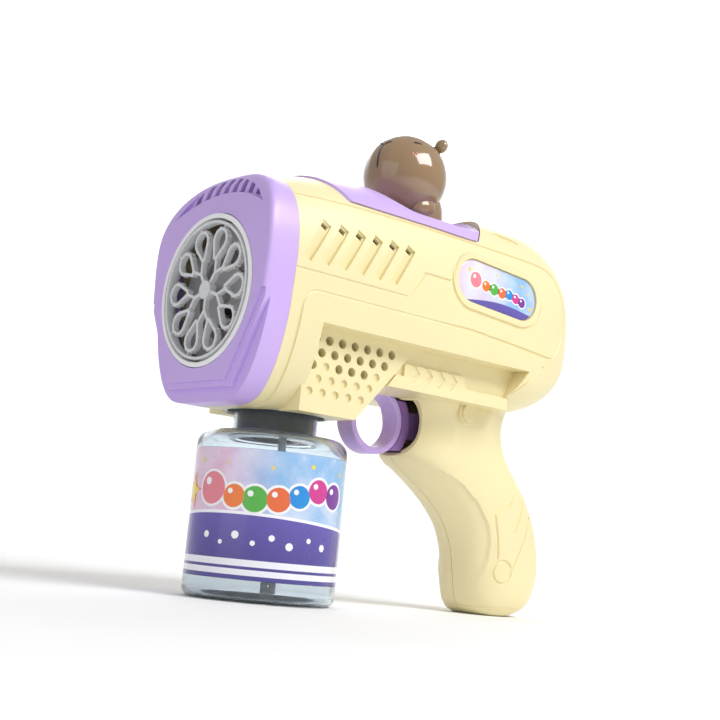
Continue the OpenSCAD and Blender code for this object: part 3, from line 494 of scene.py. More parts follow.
def housing_half():
    outer = body_half("housing_left_looks")
    boolean(outer, [under_body(0), side_pocket(0)])
    boss = prism("panel", [(-12, FLOOR_Z + 0.02), (15.9, FLOOR_Z + 0.02), (46.4, LEDGE_Z + 1),
                           (-12, LEDGE_Z + 1)], 0, SEAM_GAP, PANEL_X)
    lip = prism("lip", [(31.1, SPINE_Z + 0.02), (101, SPINE_Z + 0.02), (101, 93.4), (99, 94.2),
                        (35.4, 94.2)], 0, SEAM_GAP, PANEL_X + 0.4)
    rail = prism("rail", [(40, 93), (77, 93), (73.5, 99.4), (40, 99.4)], 0, POCKET_X - 3, POCKET_X + 1.5)
    badge_boss = loft("boss", [
        [(x, y, z) for y, z in badge_outline(r)]
        for x, r in ((34, 13.0), (HALF_W - 0.7, 11.7), (HALF_W - 0.1, 11.1))])
    grip_boss = group("gb", [prism("g1", stadium((87, 86), (98, 86.6), 4.7), 0, 12, 20.6)])
    boolean(outer, [boss, lip, rail, grip_half("grip"), badge_boss, grip_boss], "UNION")
    disc = loft("disc", [[(x, y, z) for y, z in circle(87.6, 86.2, r, 40)]
                         for x, r in ((19, 4.0), (21.6, 4.0), (22.0, 3.6))])
    boolean(outer, [disc], "UNION")

    inner = body_half("inner", WALL, SEAM_Y - 1, 4)
    roof = saddle_cut(SADDLE_BASE, -WALL)
    boolean(roof, [saddle_plan(WALL + 0.4)], "INTERSECT")
    boolean(inner, [under_body(-WALL), side_pocket(WALL), roof])
    boolean(outer, [inner, grip_half("grip_inner", WALL, WALL, False)])

    recess = saddle_cut(SADDLE_BASE)
    boolean(recess, [saddle_plan(0.4)], "INTERSECT")
    boolean(outer, [recess, well(13.2, 150, 175)])
    finger = rod("finger", (RING_Y, RING_Z), 0, 18.6, 18.6, -1, 30, 96)
    boolean(finger, [prism("keep", box_outline(0, 95, 40, SPINE_Z - 0.5), 0, -5, 40)], "INTERSECT")
    boolean(outer, [finger])
    boolean(outer, [block((0, 61, 77.2), (11, 42, 22.5)), rod("socket", (0, 0), 2, 21.2, 21.2, 70, 86.5)])
    ring_slot = loft("ring_slot", [[(x, y, z) for y, z in stadium((RING_Y, RING_Z), (RING_Y + 4, RING_Z), 15)]
                                   for x in (-6, 5.6)])
    boolean(outer, [ring_slot])

    # louvres: slanted shallow slots, each open at its top
    slots = []
    for i in range(6):
        base = Vector((0, -18 + 8.75 * i, 136.5))
        turn = Matrix.Rotation(math.radians(-30), 3, "X")
        slots.append(block(base + turn @ Vector((HALF_W + 3.0, 0, 0)), (10, 4.4, 18), -30))
    louvre_cut = group("louvres", slots)
    holes = group("louvre_holes", [
        block(Vector((0, -18 + 8.75 * i, 136.5)) + Matrix.Rotation(math.radians(-30), 3, "X")
              @ Vector((HALF_W - 3, along, z)), (12, w, h), -30)
        for i in range(6) for along, w, z, h in ((0, 3.0, 7.2, 1.8), (-1.8, 0.6, -1.6, 12.5))])
    boolean(outer, [louvre_cut, holes])

    through, blind = [], []
    for r, (count, start) in enumerate(zip((7, 6, 6, 5, 5), (-6.8, -3.6, -7.4, -4.2, -8))):
        for i in range(count):
            centre = (start + 6.5 * i, 101.5 - 5.1 * r)
            if r < 2 or (r == 2 and i not in (1, 5)):
                through.append(rod("h", centre, 0, 1.75, 1.9, 20, PANEL_X + 3, 28))
            else:
                blind.append(rod("h", centre, 0, 1.6, 1.85, PANEL_X - 1, PANEL_X + 3, 28))
    boolean(outer, [group("through", through), group("blind", blind)])

    # badge seat, rim groove and the long panel lines
    seat = prism("seat", badge_outline(9.3), 0, HALF_W - 1.5, 60)
    rim = [(HALF_W - 0.2, y, z) for y, z in badge_outline(12.6)]
    boolean(outer, [seat, tube("rim", rim, 0.75, 8, True)])
    rear_turn = arc(112, 133, 18.5, 21, 84, -60, 22)
    line_top = flat([(SEAM_Y + 0.5, 153.2), (0, 154.6), (45, 155.2), (100, 154.6)]) + rear_turn
    line_top += flat([(113, 114.4), (100, 115.2)])
    path_top = polyline([(p[0], p[1], 0) for p in spline(line_top, 4)], 2.2)
    line_mid = polyline(flat([(SEAM_Y, 124.3), (30, 124.3), (38, 135.5), (54.4, 135.5)]), 2)
    line_low = polyline(flat([(-22, 72), (-21.6, 108)]) + arc(-14.6, 110.5, 7, 7, 180, 90, 8)
                        + flat([(20, 117.5), (68, 117.5), (100, 115.2)]), 2)
    boolean(outer, [groove(path_top)])
    boolean(outer, [groove(line_mid)])
    boolean(outer, [groove(line_low)])
    notch = polyline([(x, y, skin_top(x, y)) for x, y in
                      ((29 + 0.12 * k, 85 + 1.25 * k) for k in range(13))], 2)
    boolean(outer, [tube("notch", notch, lambda t: 0.5 + 1.5 * math.sin(math.pi * t) ** 0.7, 10)])
    rear_line = on_skin([(98, 94), (103, 98), (109, 104), (115, 110)], 0.1)
    boolean(outer, [tube("rear_line", rear_line, 0.6, 8)])
    chevrons = []
    for k in range(4):
        y0 = 44 + 7.2 * k
        chevrons.append(tube("chev", polyline([(POCKET_X + 1.6, y0, 100.4), (POCKET_X + 1.6, y0 + 4.2, 96.4),
                                               (POCKET_X + 1.6, y0, 92.4)], 2), 0.8, 8))
    boolean(outer, [group("chevrons", chevrons)])

    # engraving on the grip
    def grip_path(pts, lift=0.1):
        return [(grip_x(y, z) + lift, y, z) for y, z, _ in pts]
    lines = [spline(flat([(132.5, 60), (122, 52.5), (111.8, 44.3)]), 6)
             + spline(flat([(111.8, 44.3), (114.6, 36), (115.9, 30), (116.4, 25)]), 6)[1:],
             spline(flat([(131.5, 61.5), (127.9, 58.7), (124, 54), (120.5, 48.4)]), 6),
             spline(flat([(134.5, 55), (131.9, 53.1), (129.8, 47.7), (124.7, 37.4)]), 6),
             spline(flat([(137.5, 45), (134.6, 42.2), (131.4, 33.8), (127.5, 26), (124.6, 20)]), 6)]
    for pts in lines:
        boolean(outer, [tube("engraving", grip_path(pts), 0.8, 8)])
    loop = arc(119.8, 19.4, 4.7, 4.9, 0, 350, 35)
    boolean(outer, [tube("engraving", grip_path(loop), 0.75, 8, True)])
    foot_z = 3.6
    front, back, w = grip_row_smooth(foot_z)
    foot = [(w * power(math.cos(a), 2 / 2.6) + 0.15,
             (front + back) / 2 + (back - front) / 2 * power(math.sin(a), 2 / 2.6), foot_z)
            for a in (math.radians(-88 + 176 * i / 50) for i in range(51))]
    boolean(outer, [tube("foot_line", foot, 0.35, 6)])
    return outer


def door_outline(gap):
    c, s = math.cos(math.radians(DOOR_LEAN)), math.sin(math.radians(DOOR_LEAN))
    return [(DOOR_Y + dy * c - dz * s, DOOR_Z + dy * s + dz * c)
            for dy, dz in box_outline(-12 + gap, 12 - gap, -26 + gap, 31 - gap)]


left = housing_half()
right = mirrored(left, "housing_right_looks")
cover = mirrored(left, "battery_cover_looks")
boolean(cover, [prism("door", door_outline(0.3), 0, -30, -14.0)], "INTERSECT")
boolean(right, [prism("door", door_outline(0), 0, -30, -8)])
screw_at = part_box("cover_screw")
screw_mid = ((screw_at[0].y + screw_at[1].y) / 2 / MM, (screw_at[0].z + screw_at[1].z) / 2 / MM)
boolean(cover, [rod("counterbore", screw_mid, 0, 2.5, 2.5, -30, -16.9, 32)])
screw_seats = []
for y, z in ((-8, 151.5), (114, 152), (122, 102), (81, 97), (97, 74), (141, 7)):
    screw_seats.append(rod("seat", (y, z), 0, 2.3, 2.3, -50, -8, 28))
boolean(right, [group("screw_seats", screw_seats)])


# ---------------------------------------------------------------- nose bezel
def nose_outline(inset, n=160):
    pts = []
    for i in range(n):
        x, _, z = body_point(SEAM_Y, math.tau * i / n, inset)
        pts.append((x, z))
    return pts


def nose_ring(y, inset, lift=0.0, lean=8.0, n=160, scale=1.0):
    """Ring round the nose; the front leans back towards its top."""
    ring = []
    for x, z in nose_outline(inset, n):
        z = z - (lift * (z - MID_Z) / 36 if z > MID_Z else 0)
        x, z = x * scale, 118 + (z - 118) * scale
        ring.append((x, y + lean * max(0, (z - 136) / 30) ** 2, z))
    return ring


def nose_bezel():
    inner_scales = (0.03, 0.2, 0.4, 0.6, 0.75, 0.88, 0.96)
    rings = [nose_ring(FRONT_Y, 1.8, 1.7, scale=k) for k in inner_scales]
    rings += [nose_ring(FRONT_Y + deep, inset, lift) for inset, lift, deep in (
        (1.8, 1.7, 0), (1.2, 1.2, 0.1), (0.7, 0.8, 0.35), (0.35, 0.45, 0.8), (0.12, 0.2, 1.6),
        (0.02, 0.02, 4))]
    rings.append(nose_ring(SEAM_Y - 0.1, 0, 0, 0))
    shell = loft("nose_bezel_looks", rings)
    room = [nose_ring(FRONT_Y + NOSE_FRONT, WALL + 0.6, 3.0, n=80, scale=k) for k in inner_scales]
    room.append(nose_ring(FRONT_Y + NOSE_FRONT, WALL + 0.6, 3.0, n=80))
    room.append(nose_ring(SEAM_Y + 1, WALL + 0.6, 0, 0, 80))
    boolean(shell, [loft("inside", room)])
    lens = [(x, 163 - 15 * abs(x / 30) ** 2.4) for x in range(30, -31, -2)]
    lens += [(x, 155.6 - 7.4 * (x / 30) ** 2) for x in range(-28, 29, 2)]
    boolean(shell, [prism("lens", lens, 1, FRONT_Y - 2, FRONT_Y + 4.6)])
    bars = [block((6 * i + 3, FRONT_Y + 8, 157), (2.4, 30, 26), 0, 30) for i in range(-5, 5)]
    small_lens = [(x * 0.93, 157.2 + (z - 157.2) * 0.78) for x, z in lens]
    vents = prism("vents", small_lens, 1, FRONT_Y - 2, SEAM_Y + 5)
    boolean(vents, [group("bars", bars)])
    boolean(shell, [vents])
    boolean(shell, [rod("mouth", (0, WHEEL_Z), 1, 30.6, 30.6, FRONT_Y - 1, FRONT_Y + 9, 128)])
    for s in (-1, 1):
        wing = [(s * 50, 112), (s * 38.6, 112), (s * 34.8, 105), (s * 21.4, 78.4), (0, 78.4), (0, 60),
                (s * 50, 60)]
        boolean(shell, [prism("wing", wing, 1, FRONT_Y - 2, FRONT_Y + 3.4)])
        step = [(s * 50, 114.4), (s * 36.6, 114.4), (s * 32.2, 105.8), (s * 18.9, 80.8), (0, 80.8), (0, 60),
                (s * 50, 60)]
        boolean(shell, [prism("wing_step", step, 1, FRONT_Y - 2, FRONT_Y + 1.1)])
    return shell


bezel = nose_bezel()
bezel_profile = [(28.35, -40.2), (28.6, -40.55), (29.2, -40.6), (29.9, -40.5), (30.25, -40.1), (30.3, -39.2),
                 (30.3, -35.2), (28.35, -35.2)]
bezel_ring = revolve("nose_ring_looks", bezel_profile, (0, 0, WHEEL_Z), 1, 128)


# ---------------------------------------------------------------- saddle trim and figure
def saddle():
    skin = body_full("saddle_trim_looks", -0.8)
    boolean(skin, [saddle_plan(0)], "INTERSECT")
    boolean(skin, [saddle_cut(SADDLE_BASE, 0.1)], "INTERSECT")
    boolean(skin, [saddle_cut(SADDLE_DIP), well(13, 140, 200)])
    arch = []
    for i in range(21):
        a = math.radians(-64 + 128 * i / 20)
        x, y = 30.5 * math.sin(a), 58 + 25.5 * math.cos(a)
        arch.append((x, y, min(saddle_height(y), skin_top(x, y, -0.8))))
    boolean(skin, [tube("arch", arch, 1.25, 10)])
    cup = well(13, 154.6, 162.7)
    boolean(cup, [well(11.4, 156, 190), rod("peg", (0, 57), 2, 2.6, 2.6, 150, 160, 32)])
    boolean(skin, [cup], "UNION")
    return skin


trim = saddle()


def ball(name, centre, radii, turn=(0, 0, 0), rows=32, cols=48, shape=None):
    rot = Euler(turn).to_matrix()
    verts, faces = [], []
    for j in range(rows + 1):
        for i in range(cols):
            th, ph = math.pi * j / rows, math.tau * i / cols
            d = Vector((math.sin(th) * math.cos(ph), math.sin(th) * math.sin(ph), math.cos(th)))
            k = shape(d) if shape else 1.0
            v = rot @ Vector((d.x * radii[0], d.y * radii[1], d.z * radii[2])) * k
            verts.append(Vector(centre) + v)
    for j in range(rows):
        for i in range(cols):
            a, b = j * cols + i, j * cols + (i + 1) % cols
            faces.append((a, b, b + cols, a + cols))
    return solid(name, verts, faces)


FACE_TURN = Matrix.Rotation(math.radians(8), 3, "Z")
MUZZLE = Vector((0, -0.93, 0.36)).normalized()


def head_shape(d):
    """Round head with a slight muzzle that runs down its front."""
    d = FACE_TURN.transposed() @ d
    near = max(0.0, d.dot(MUZZLE))
    side = abs(d.x)
    muzzle = 0.035 * near ** 6 * math.exp(-(side / 0.42) ** 4)
    crease = 0.012 * near ** 3 * math.exp(-((side - 0.46) / 0.1) ** 2)
    return 1 + muzzle - crease


HEAD_RADII = (HEAD_R * 0.985, HEAD_R * 0.975, HEAD_R)
head = ball("figure_head_looks", HEAD, HEAD_RADII, rows=64, cols=96, shape=head_shape)


def on_head(d, lift=0.0):
    """A point on the head's skin in direction d."""
    d = Vector(d).normalized()
    r = Vector(a * b for a, b in zip(d, HEAD_RADII)) * head_shape(d)
    return HEAD + r + d * lift


def face_stroke(name, dirs, r, lift=-0.05):
    def width(t):
        return r * (0.35 + 0.65 * math.sin(math.pi * min(max(t, 0.04), 0.96)) ** 0.5)
    path = spline([on_head(FACE_TURN @ Vector(d), lift) for d in dirs], 6)
    return tube(name, path, width, 10)


face = group("figure_face", [
    face_stroke("s", [(0, -0.845, 0.535), (0, -0.93, 0.36), (0, -0.985, 0.12), (0, -0.998, -0.03)], 0.5),
    face_stroke("s", [(0.02, -0.84, 0.54), (0.09, -0.80, 0.585), (0.17, -0.765, 0.61)], 0.46),
    face_stroke("s", [(-0.02, -0.84, 0.54), (-0.09, -0.80, 0.585), (-0.17, -0.765, 0.61)], 0.46),
    face_stroke("s", [(0.60, -0.50, 0.63), (0.655, -0.42, 0.628), (0.705, -0.33, 0.61)], 0.5),
    face_stroke("s", [(-0.60, -0.50, 0.63), (-0.655, -0.42, 0.628), (-0.705, -0.33, 0.61)], 0.5)])
blush = group("figure_blush", [
    face_stroke("b", [(s * (0.72 + dx), -0.60 + dy, 0.36), (s * (0.735 + dx), -0.60 + dy, 0.32),
                      (s * (0.745 + dx), -0.61 + dy, 0.28)], 0.55, -0.2)
    for s in (-1, 1) for dx, dy in ((-0.02, -0.035), (0.03, 0.045))])

BODY_Z = 156.1
body_profile = [(r, BODY_Z + z) for r, z, _ in spline(flat([
    (10.9, 0), (10.9, 3.2), (10.9, 6.4), (12.4, 9.6), (13.2, 12.8), (13.3, 16), (12.9, 19.2), (11.9, 22.4),
    (10, 25.6), (7, 28.4), (0.3, 29.9)]), 4)]
body_profile = [(0.01, BODY_Z)] + body_profile + [(0.01, BODY_Z + 29.9)]
figure = revolve("figure_body_looks", body_profile, (0, 63.5, 0), 2, 72)
for s in (-1, 1):
    arm = ball("arm", (s * 11.0, 59.6, 172.6), (3.9, 6.2, 4.4), (math.radians(20), 0, 0), 24, 32)
    boolean(figure, [arm], "UNION")
boolean(figure, [ball("head_room", HEAD, HEAD_RADII, rows=48, cols=64)])
ears = group("figure_ears_looks", [
    ball("ear", (s * 11.0, 67.0, 202.4), (3.2, 2.5, 3.3), (math.radians(-14), math.radians(s * 18), 0),
         24, 32)
    for s in (-1, 1)])


# ---------------------------------------------------------------- trigger ring
def finger_ring():
    profile = [(11.5, -4.2), (11.65, -4.7), (12.1, -5.0), (13.7, -5.0), (14.15, -4.7), (14.3, -4.2),
               (14.3, 4.2), (14.15, 4.7), (13.7, 5.0), (12.1, 5.0), (11.65, 4.7), (11.5, 4.2)]
    ring = revolve("trigger_ring_looks", profile, (0, RING_Y, RING_Z), 0, 112)
    band = rod("trigger_band", (RING_Y, RING_Z), 0, 18.2, 18.2, -5, 5, 112)
    boolean(band, [prism("keep", box_outline(RING_Y + 2, RING_Y + 32, 66.6, 88), 0, -10, 10)], "INTERSECT")
    stem = prism("stem", box_outline(RING_Y + 12, 75, 72, 84), 0, -3.4, 3.4)
    boolean(band, [rod("core", (RING_Y, RING_Z), 0, 14.3, 14.3, -6, 6, 112)])
    boolean(band, [stem], "UNION")
    boolean(band, [rod("spring_bore", (0, 75.2), 1, 3.1, 3.1, 66.9, 77, 40)])
    return ring, band


trigger, trigger_band = finger_ring()


# ---------------------------------------------------------------- bottle
def quarter(u, v, ru, rv, start, stop, step):
    """Part of an ellipse, by whole degrees."""
    return [(u + ru * math.cos(math.radians(a)), v + rv * math.sin(math.radians(a)))
            for a in range(start, stop + 1, step)]


def bottle_profile(inset=0.0):
    r, h, neck = 30 - inset, 65 - inset, 17 - inset * 1.2
    base = inset * 1.1
    pts = [(0.01, base + (1.4 if inset else 0.9)), (20, base + (1.0 if inset else 0.5)), (24, base),
           (27, base)]
    pts += quarter(27, base + 3, r - 27, 3, -75, 0, 15)
    if not inset:
        pts += [(r, LABEL_Z0 - 0.1), (r - 0.35, LABEL_Z0), (r - 0.35, LABEL_Z1), (r, LABEL_Z1 + 0.1)]
    pts += [(r, h - 6)]
    pts += quarter(r - 6, h - 6, 6, 6, 10, 90, 10)
    pts += [(neck + 1.2, h), (neck + 0.35, h + 0.35), (neck, h + 1.2), (neck, 82)]
    return pts


def bottle_shell():
    outer = bottle_profile()
    inner = bottle_profile(1.3)
    ring = revolve("bottle_looks", outer + inner[::-1], (0, 0, 0), 2, 128)
    return ring


bottle = bottle_shell()


def thread(name):
    """Outside thread on the neck: a ridge that runs one and a half turns."""
    steps, path = 72, []
    for i in range(steps + 1):
        a = 1.5 * math.tau * i / steps
        path.append((17.4 * math.cos(a), 17.4 * math.sin(a), 75 + 4 * a / math.tau))
    return tube(name, path, lambda t: 1.05 * min(1, 12 * t + 0.15, 12 * (1 - t) + 0.15), 10)


bottle_thread = thread("bottle_thread")


def on_label(u, z, r=30.03):
    """A point on the label's skin: u is the distance round from +X-Y, in mm."""
    a = math.radians(-50) + u / 30
    return r * math.cos(a), r * math.sin(a), z


def label_patch(name, outline, r):
    """Thin curved patch on the label, fanned from its middle in rings."""
    cu = sum(p[0] for p in outline) / len(outline)
    cv = sum(p[1] for p in outline) / len(outline)
    verts, faces, n, rings = [], [], len(outline), 3
    for k in range(rings):
        s = 1 - k / rings
        for u, v in outline:
            verts.append(on_label(cu + (u - cu) * s, cv + (v - cv) * s, r))
    verts.append(on_label(cu, cv, r))
    for k in range(rings - 1):
        for i in range(n):
            j = (i + 1) % n
            faces.append((k * n + i, k * n + j, (k + 1) * n + j, (k + 1) * n + i))
    for i in range(n):
        faces.append(((rings - 1) * n + i, (rings - 1) * n + (i + 1) % n, len(verts) - 1))
    return solid(name, verts, faces)


def star_outline(u, v, r, turn=0.0, inner=0.5):
    return [(u + r * (1 if i % 2 == 0 else inner) * math.sin(math.tau * i / 10 + turn),
             v + r * (1 if i % 2 == 0 else inner) * math.cos(math.tau * i / 10 + turn)) for i in range(10)]


# ---------------------------------------------------------------- materials
def principled(name, color, rough, **extra):
    m = bpy.data.materials.new(name)
    m.use_nodes = True
    b = m.node_tree.nodes["Principled BSDF"]
    b.inputs["Base Color"].default_value = (*color, 1)
    b.inputs["Roughness"].default_value = rough
    for k, v in extra.items():
        b.inputs[k.replace("_", " ")].default_value = v
    return m, m.node_tree.nodes, m.node_tree.links, b


def noise(nodes, links, vector, scale, detail):
    n = nodes.new("ShaderNodeTexNoise")
    n.inputs["Scale"].default_value = scale
    n.inputs["Detail"].default_value = detail
    links.new(vector, n.inputs["Vector"])
    return n.outputs["Fac"]


def remap(nodes, links, value, from_min=0.0, from_max=1.0, to_min=0.0, to_max=1.0):
    n = nodes.new("ShaderNodeMapRange")
    for key, v in (("From Min", from_min), ("From Max", from_max), ("To Min", to_min), ("To Max", to_max)):
        n.inputs[key].default_value = v
    links.new(value, n.inputs["Value"])
    return n.outputs["Result"]


def relief(nodes, links, height, strength, shader):
    n = nodes.new("ShaderNodeBump")
    n.inputs["Strength"].default_value = strength
    n.inputs["Distance"].default_value = 0.0002
    links.new(height, n.inputs["Height"])
    links.new(n.outputs["Normal"], shader.inputs["Normal"])


def moulded(name, color, rough=0.35, spread=0.08, grain=900.0, bump=0.03, shade=0.05, **extra):
    """Moulded plastic or metal: slight mottling, a fine surface grain and varied polish."""
    m, nodes, links, b = principled(name, color, rough, **extra)
    coords = nodes.new("ShaderNodeTexCoord").outputs["Object"]
    fine = noise(nodes, links, coords, grain, 3)
    broad = noise(nodes, links, coords, 38, 4)
    polish = remap(nodes, links, broad, to_min=max(rough - spread, 0.02), to_max=rough + spread)
    links.new(polish, b.inputs["Roughness"])
    tint = nodes.new("ShaderNodeValToRGB")
    dark, light = tint.color_ramp.elements
    dark.position, light.position = 0.3, 0.7
    dark.color = (*[c * (1 - shade) for c in color], 1)
    light.color = (*[min(c * (1 + shade * 0.4), 1) for c in color], 1)
    links.new(broad, tint.inputs["Fac"])
    links.new(tint.outputs["Color"], b.inputs["Base Color"])
    relief(nodes, links, fine, bump, b)
    return m


def brushed(name, color, rough=0.3, stretch=(400, 400, 400)):
    """Metal with drawn or turned marks."""
    m, nodes, links, b = principled(name, color, rough, Metallic=1.0)
    place = nodes.new("ShaderNodeMapping")
    place.inputs["Scale"].default_value = stretch
    links.new(nodes.new("ShaderNodeTexCoord").outputs["Object"], place.inputs["Vector"])
    marks = noise(nodes, links, place.outputs["Vector"], 6, 5)
    links.new(remap(nodes, links, marks, to_min=rough - 0.1, to_max=rough + 0.14), b.inputs["Roughness"])
    relief(nodes, links, marks, 0.06, b)
    return m


def maths(nodes, links, op, a, b=None, c=None):
    n = nodes.new("ShaderNodeMath")
    n.operation = op
    for i, v in enumerate((a, b, c)):
        if v is None:
            continue
        if isinstance(v, (int, float)):
            n.inputs[i].default_value = v
        else:
            links.new(v, n.inputs[i])
    return n.outputs[0]


def mix(nodes, links, fac, a, b):
    n = nodes.new("ShaderNodeMix")
    n.data_type = "RGBA"
    for v, s in ((fac, n.inputs[0]), (a, n.inputs[6]), (b, n.inputs[7])):
        if isinstance(v, tuple):
            s.default_value = (*v, 1)
        else:
            links.new(v, s)
    return n.outputs[2]


def sky_film(name, pink_at, blue_at, wave, stripes, axis):
    """Printed film: pink and blue sky, a violet wave band below, and pale stripes.

    axis says how far along the print a point is: 'turn' round the bottle, 'y' along a badge.
    wave is (height, swing, cycles per unit, phase) in metres; stripes are (low, high) heights.
    """
    m, nodes, links, b = principled(name, (0.7, 0.8, 0.95), 0.28, Coat_Weight=0.5, Coat_Roughness=0.12)
    coords = nodes.new("ShaderNodeTexCoord").outputs["Object"]
    parts = nodes.new("ShaderNodeSeparateXYZ")
    links.new(coords, parts.inputs["Vector"])
    x, y, z = parts.outputs
    along = maths(nodes, links, "ARCTAN2", y, x) if axis == "turn" else y
    fade = nodes.new("ShaderNodeMapRange")
    fade.interpolation_type = "SMOOTHSTEP"
    fade.inputs["From Min"].default_value = pink_at
    fade.inputs["From Max"].default_value = blue_at
    links.new(along, fade.inputs["Value"])
    sky = mix(nodes, links, fade.outputs["Result"], (0.80, 0.52, 0.70), (0.27, 0.50, 0.80))
    cloud = noise(nodes, links, coords, 60, 5)
    sky = mix(nodes, links, remap(nodes, links, cloud, 0.36, 0.72), sky, (0.78, 0.80, 0.92))
    height, swing, cycles, phase = wave
    angle = maths(nodes, links, "MULTIPLY_ADD", along, cycles, phase)
    crest = maths(nodes, links, "MULTIPLY_ADD", maths(nodes, links, "SINE", angle), swing, height)
    below = maths(nodes, links, "SUBTRACT", crest, z)
    if axis == "turn":
        sky = mix(nodes, links, remap(nodes, links, below, -0.0012, -0.0010), sky, (0.94, 0.94, 1.0))
    deep = remap(nodes, links, below, from_max=0.018)
    violet = mix(nodes, links, deep, (0.13, 0.10, 0.42), (0.07, 0.055, 0.28))
    ground = mix(nodes, links, remap(nodes, links, below, -0.00008, 0.00008), sky, violet)
    for low, high in stripes:
        above = maths(nodes, links, "GREATER_THAN", z, low)
        under = maths(nodes, links, "LESS_THAN", z, high)
        inside = maths(nodes, links, "MULTIPLY", above, under)
        ground = mix(nodes, links, inside, ground, (0.88, 0.88, 0.95))
    links.new(ground, b.inputs["Base Color"])
    links.new(remap(nodes, links, cloud, to_min=0.2, to_max=0.36), b.inputs["Roughness"])
    return m


cream = moulded("cream_abs", (0.86, 0.76, 0.44), 0.36, 0.05, 1400, 0.025, 0.02, Coat_Weight=0.12,
                Coat_Roughness=0.3)
lavender = moulded("lavender_abs", (0.60, 0.43, 0.86), 0.36, 0.05, 1400, 0.025, 0.02, Coat_Weight=0.12,
                   Coat_Roughness=0.3)
# The trigger's rear band is lavender plastic; this darker plum tone is painted shade, for the band sitting
# deep in the grip's slot
lavender_in_painted_shade = moulded("lavender_abs_painted_shade", (0.30, 0.16, 0.45), 0.4, 0.05, 1400, 0.03, 0.03)
white = moulded("white_plastic", (0.90, 0.90, 0.92), 0.4)
wheel_white = moulded("clear_wheel", (0.93, 0.93, 0.94), 0.32, 0.05, 1200, 0.02, 0.02,
                      Transmission_Weight=0.25, IOR=1.45, Subsurface_Weight=0.1)
grey = moulded("grey_plastic", (0.40, 0.40, 0.41), 0.45)
black = moulded("black_plastic", (0.012, 0.012, 0.014), 0.4)
brown = moulded("brown_gloss", (0.305, 0.195, 0.098), 0.14, 0.03, 300, 0.006, 0.05, Coat_Weight=1.0,
                Coat_Roughness=0.05)
ink = moulded("dark_ink", (0.045, 0.02, 0.012), 0.35)
rose = moulded("rose_ink", (0.62, 0.26, 0.19), 0.35)
steel = brushed("steel", (0.62, 0.63, 0.65), 0.28)
brass = brushed("brass", (0.78, 0.58, 0.25), 0.3)
copper = brushed("copper", (0.72, 0.33, 0.16), 0.35, (2500, 200, 2500))
natural = moulded("gear_natural", (0.80, 0.72, 0.48), 0.42)
blue = moulded("gear_blue", (0.25, 0.42, 0.72), 0.42)
red = moulded("red_plastic", (0.55, 0.03, 0.02), 0.4)
rubber = moulded("black_rubber", (0.015, 0.015, 0.016), 0.7, 0.08, 600, 0.08)
wrap = moulded("cell_wrap", (0.04, 0.25, 0.10), 0.25, 0.05, 500, 0.01)
tube_mat = moulded("soft_tube", (0.80, 0.87, 0.92), 0.25, 0.05, 500, 0.02, 0.04, Transmission_Weight=0.6,
                   IOR=1.41)
pet = moulded("clear_pet", (0.86, 0.93, 0.98), 0.06, 0.03, 60, 0.02, 0.02, Transmission_Weight=0.95, IOR=1.33)
label_film = sky_film("label_print", -1.35, -0.5, (0.0295, 0.0028, 1.0, 2.6),
                      ((0.0132, 0.0157), (0.0099, 0.0121)), "turn")
badge_film = sky_film("badge_print", 0.062, 0.092, (0.1305, 0.0016, 90.0, 0.4), (), "y")
INKS = {"pink": (0.80, 0.24, 0.30), "orange": (0.85, 0.20, 0.03), "green": (0.10, 0.45, 0.07),
        "coral": (0.80, 0.16, 0.05), "sky": (0.02, 0.28, 0.72), "magenta": (0.65, 0.05, 0.30),
        "violet": (0.20, 0.04, 0.33), "yellow": (0.90, 0.72, 0.08), "white": (0.93, 0.93, 0.96)}
inks = {k: moulded("ink_" + k, c, 0.3, 0.05, 800, 0.01, 0.03, Coat_Weight=0.4) for k, c in INKS.items()}


def dress(ob, mat):
    ob.data.materials.clear()
    ob.data.materials.append(mat)
    return ob


CARRIED = {
    white: ["wheel_gear", "drip_tray", "fan_impeller", "air_duct", "pump_rotor", "pump_gear",
            "bottle_socket"],
    wheel_white: ["bubble_wheel"],
    steel: ["wheel_shaft", "trigger_spring", "motor_can", "motor_shaft", "gearbox_pillars", "gear_axles",
            "pump_rollers", "battery_springs", "cover_screw", "housing_screws"],
    grey: ["air_baffle", "fan_housing", "gearbox_front", "gearbox_rear", "pump_shoe", "tube_filter",
           "battery_tray"],
    black: ["feed_nozzle", "switch_body", "motor_endcap", "bottle_insert"],
    red: ["switch_plunger", "motor_wires"],
    brass: ["switch_terminals", "motor_pinion", "battery_contacts"],
    copper: ["motor_armature"],
    natural: ["gear_first"],
    blue: ["gear_second"],
    tube_mat: ["feed_tube", "suction_tube", "dip_tube"],
    rubber: ["seal_ring"],
    wrap: ["batteries"],
    label_film: ["bottle_label"],
}
for mat, names in CARRIED.items():
    for n in names:
        dress(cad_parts[n], mat)


def piece(ob, mat, body, slot, *nodes, angle=32):
    smooth(dress(ob, mat), angle)
    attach(ob, body)
    if nodes:
        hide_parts(*nodes)
    return ob


piece(left, cream, "housing", "cream_abs", "housing_left")
piece(right, cream, "housing", "cream_abs", "housing_right")
piece(cover, cream, "cover", "cream_abs", "battery_cover")
piece(bezel, lavender, "housing", "lavender_abs", "nose_bezel")
piece(bezel_ring, white, "housing", "white_plastic", "nose_ring")
piece(trim, lavender, "housing", "lavender_abs", "saddle_trim")
piece(head, brown, "housing", "brown_gloss", "figure_head")
piece(figure, brown, "housing", "brown_gloss", "figure_body", angle=60)
piece(ears, brown, "housing", "brown_gloss", "figure_ears", angle=60)
piece(face, ink, "housing", "brown_gloss", angle=60)
piece(blush, rose, "housing", "brown_gloss", angle=60)
piece(trigger, lavender, "trigger", "lavender_abs", "trigger_ring")
# the band's darker plum colour is painted shade on lavender plastic
piece(trigger_band, lavender_in_painted_shade, "trigger", "lavender_abs")
piece(bottle, pet, "bottle", "clear_pet", "bottle")
piece(bottle_thread, pet, "bottle", "clear_pet", angle=60)

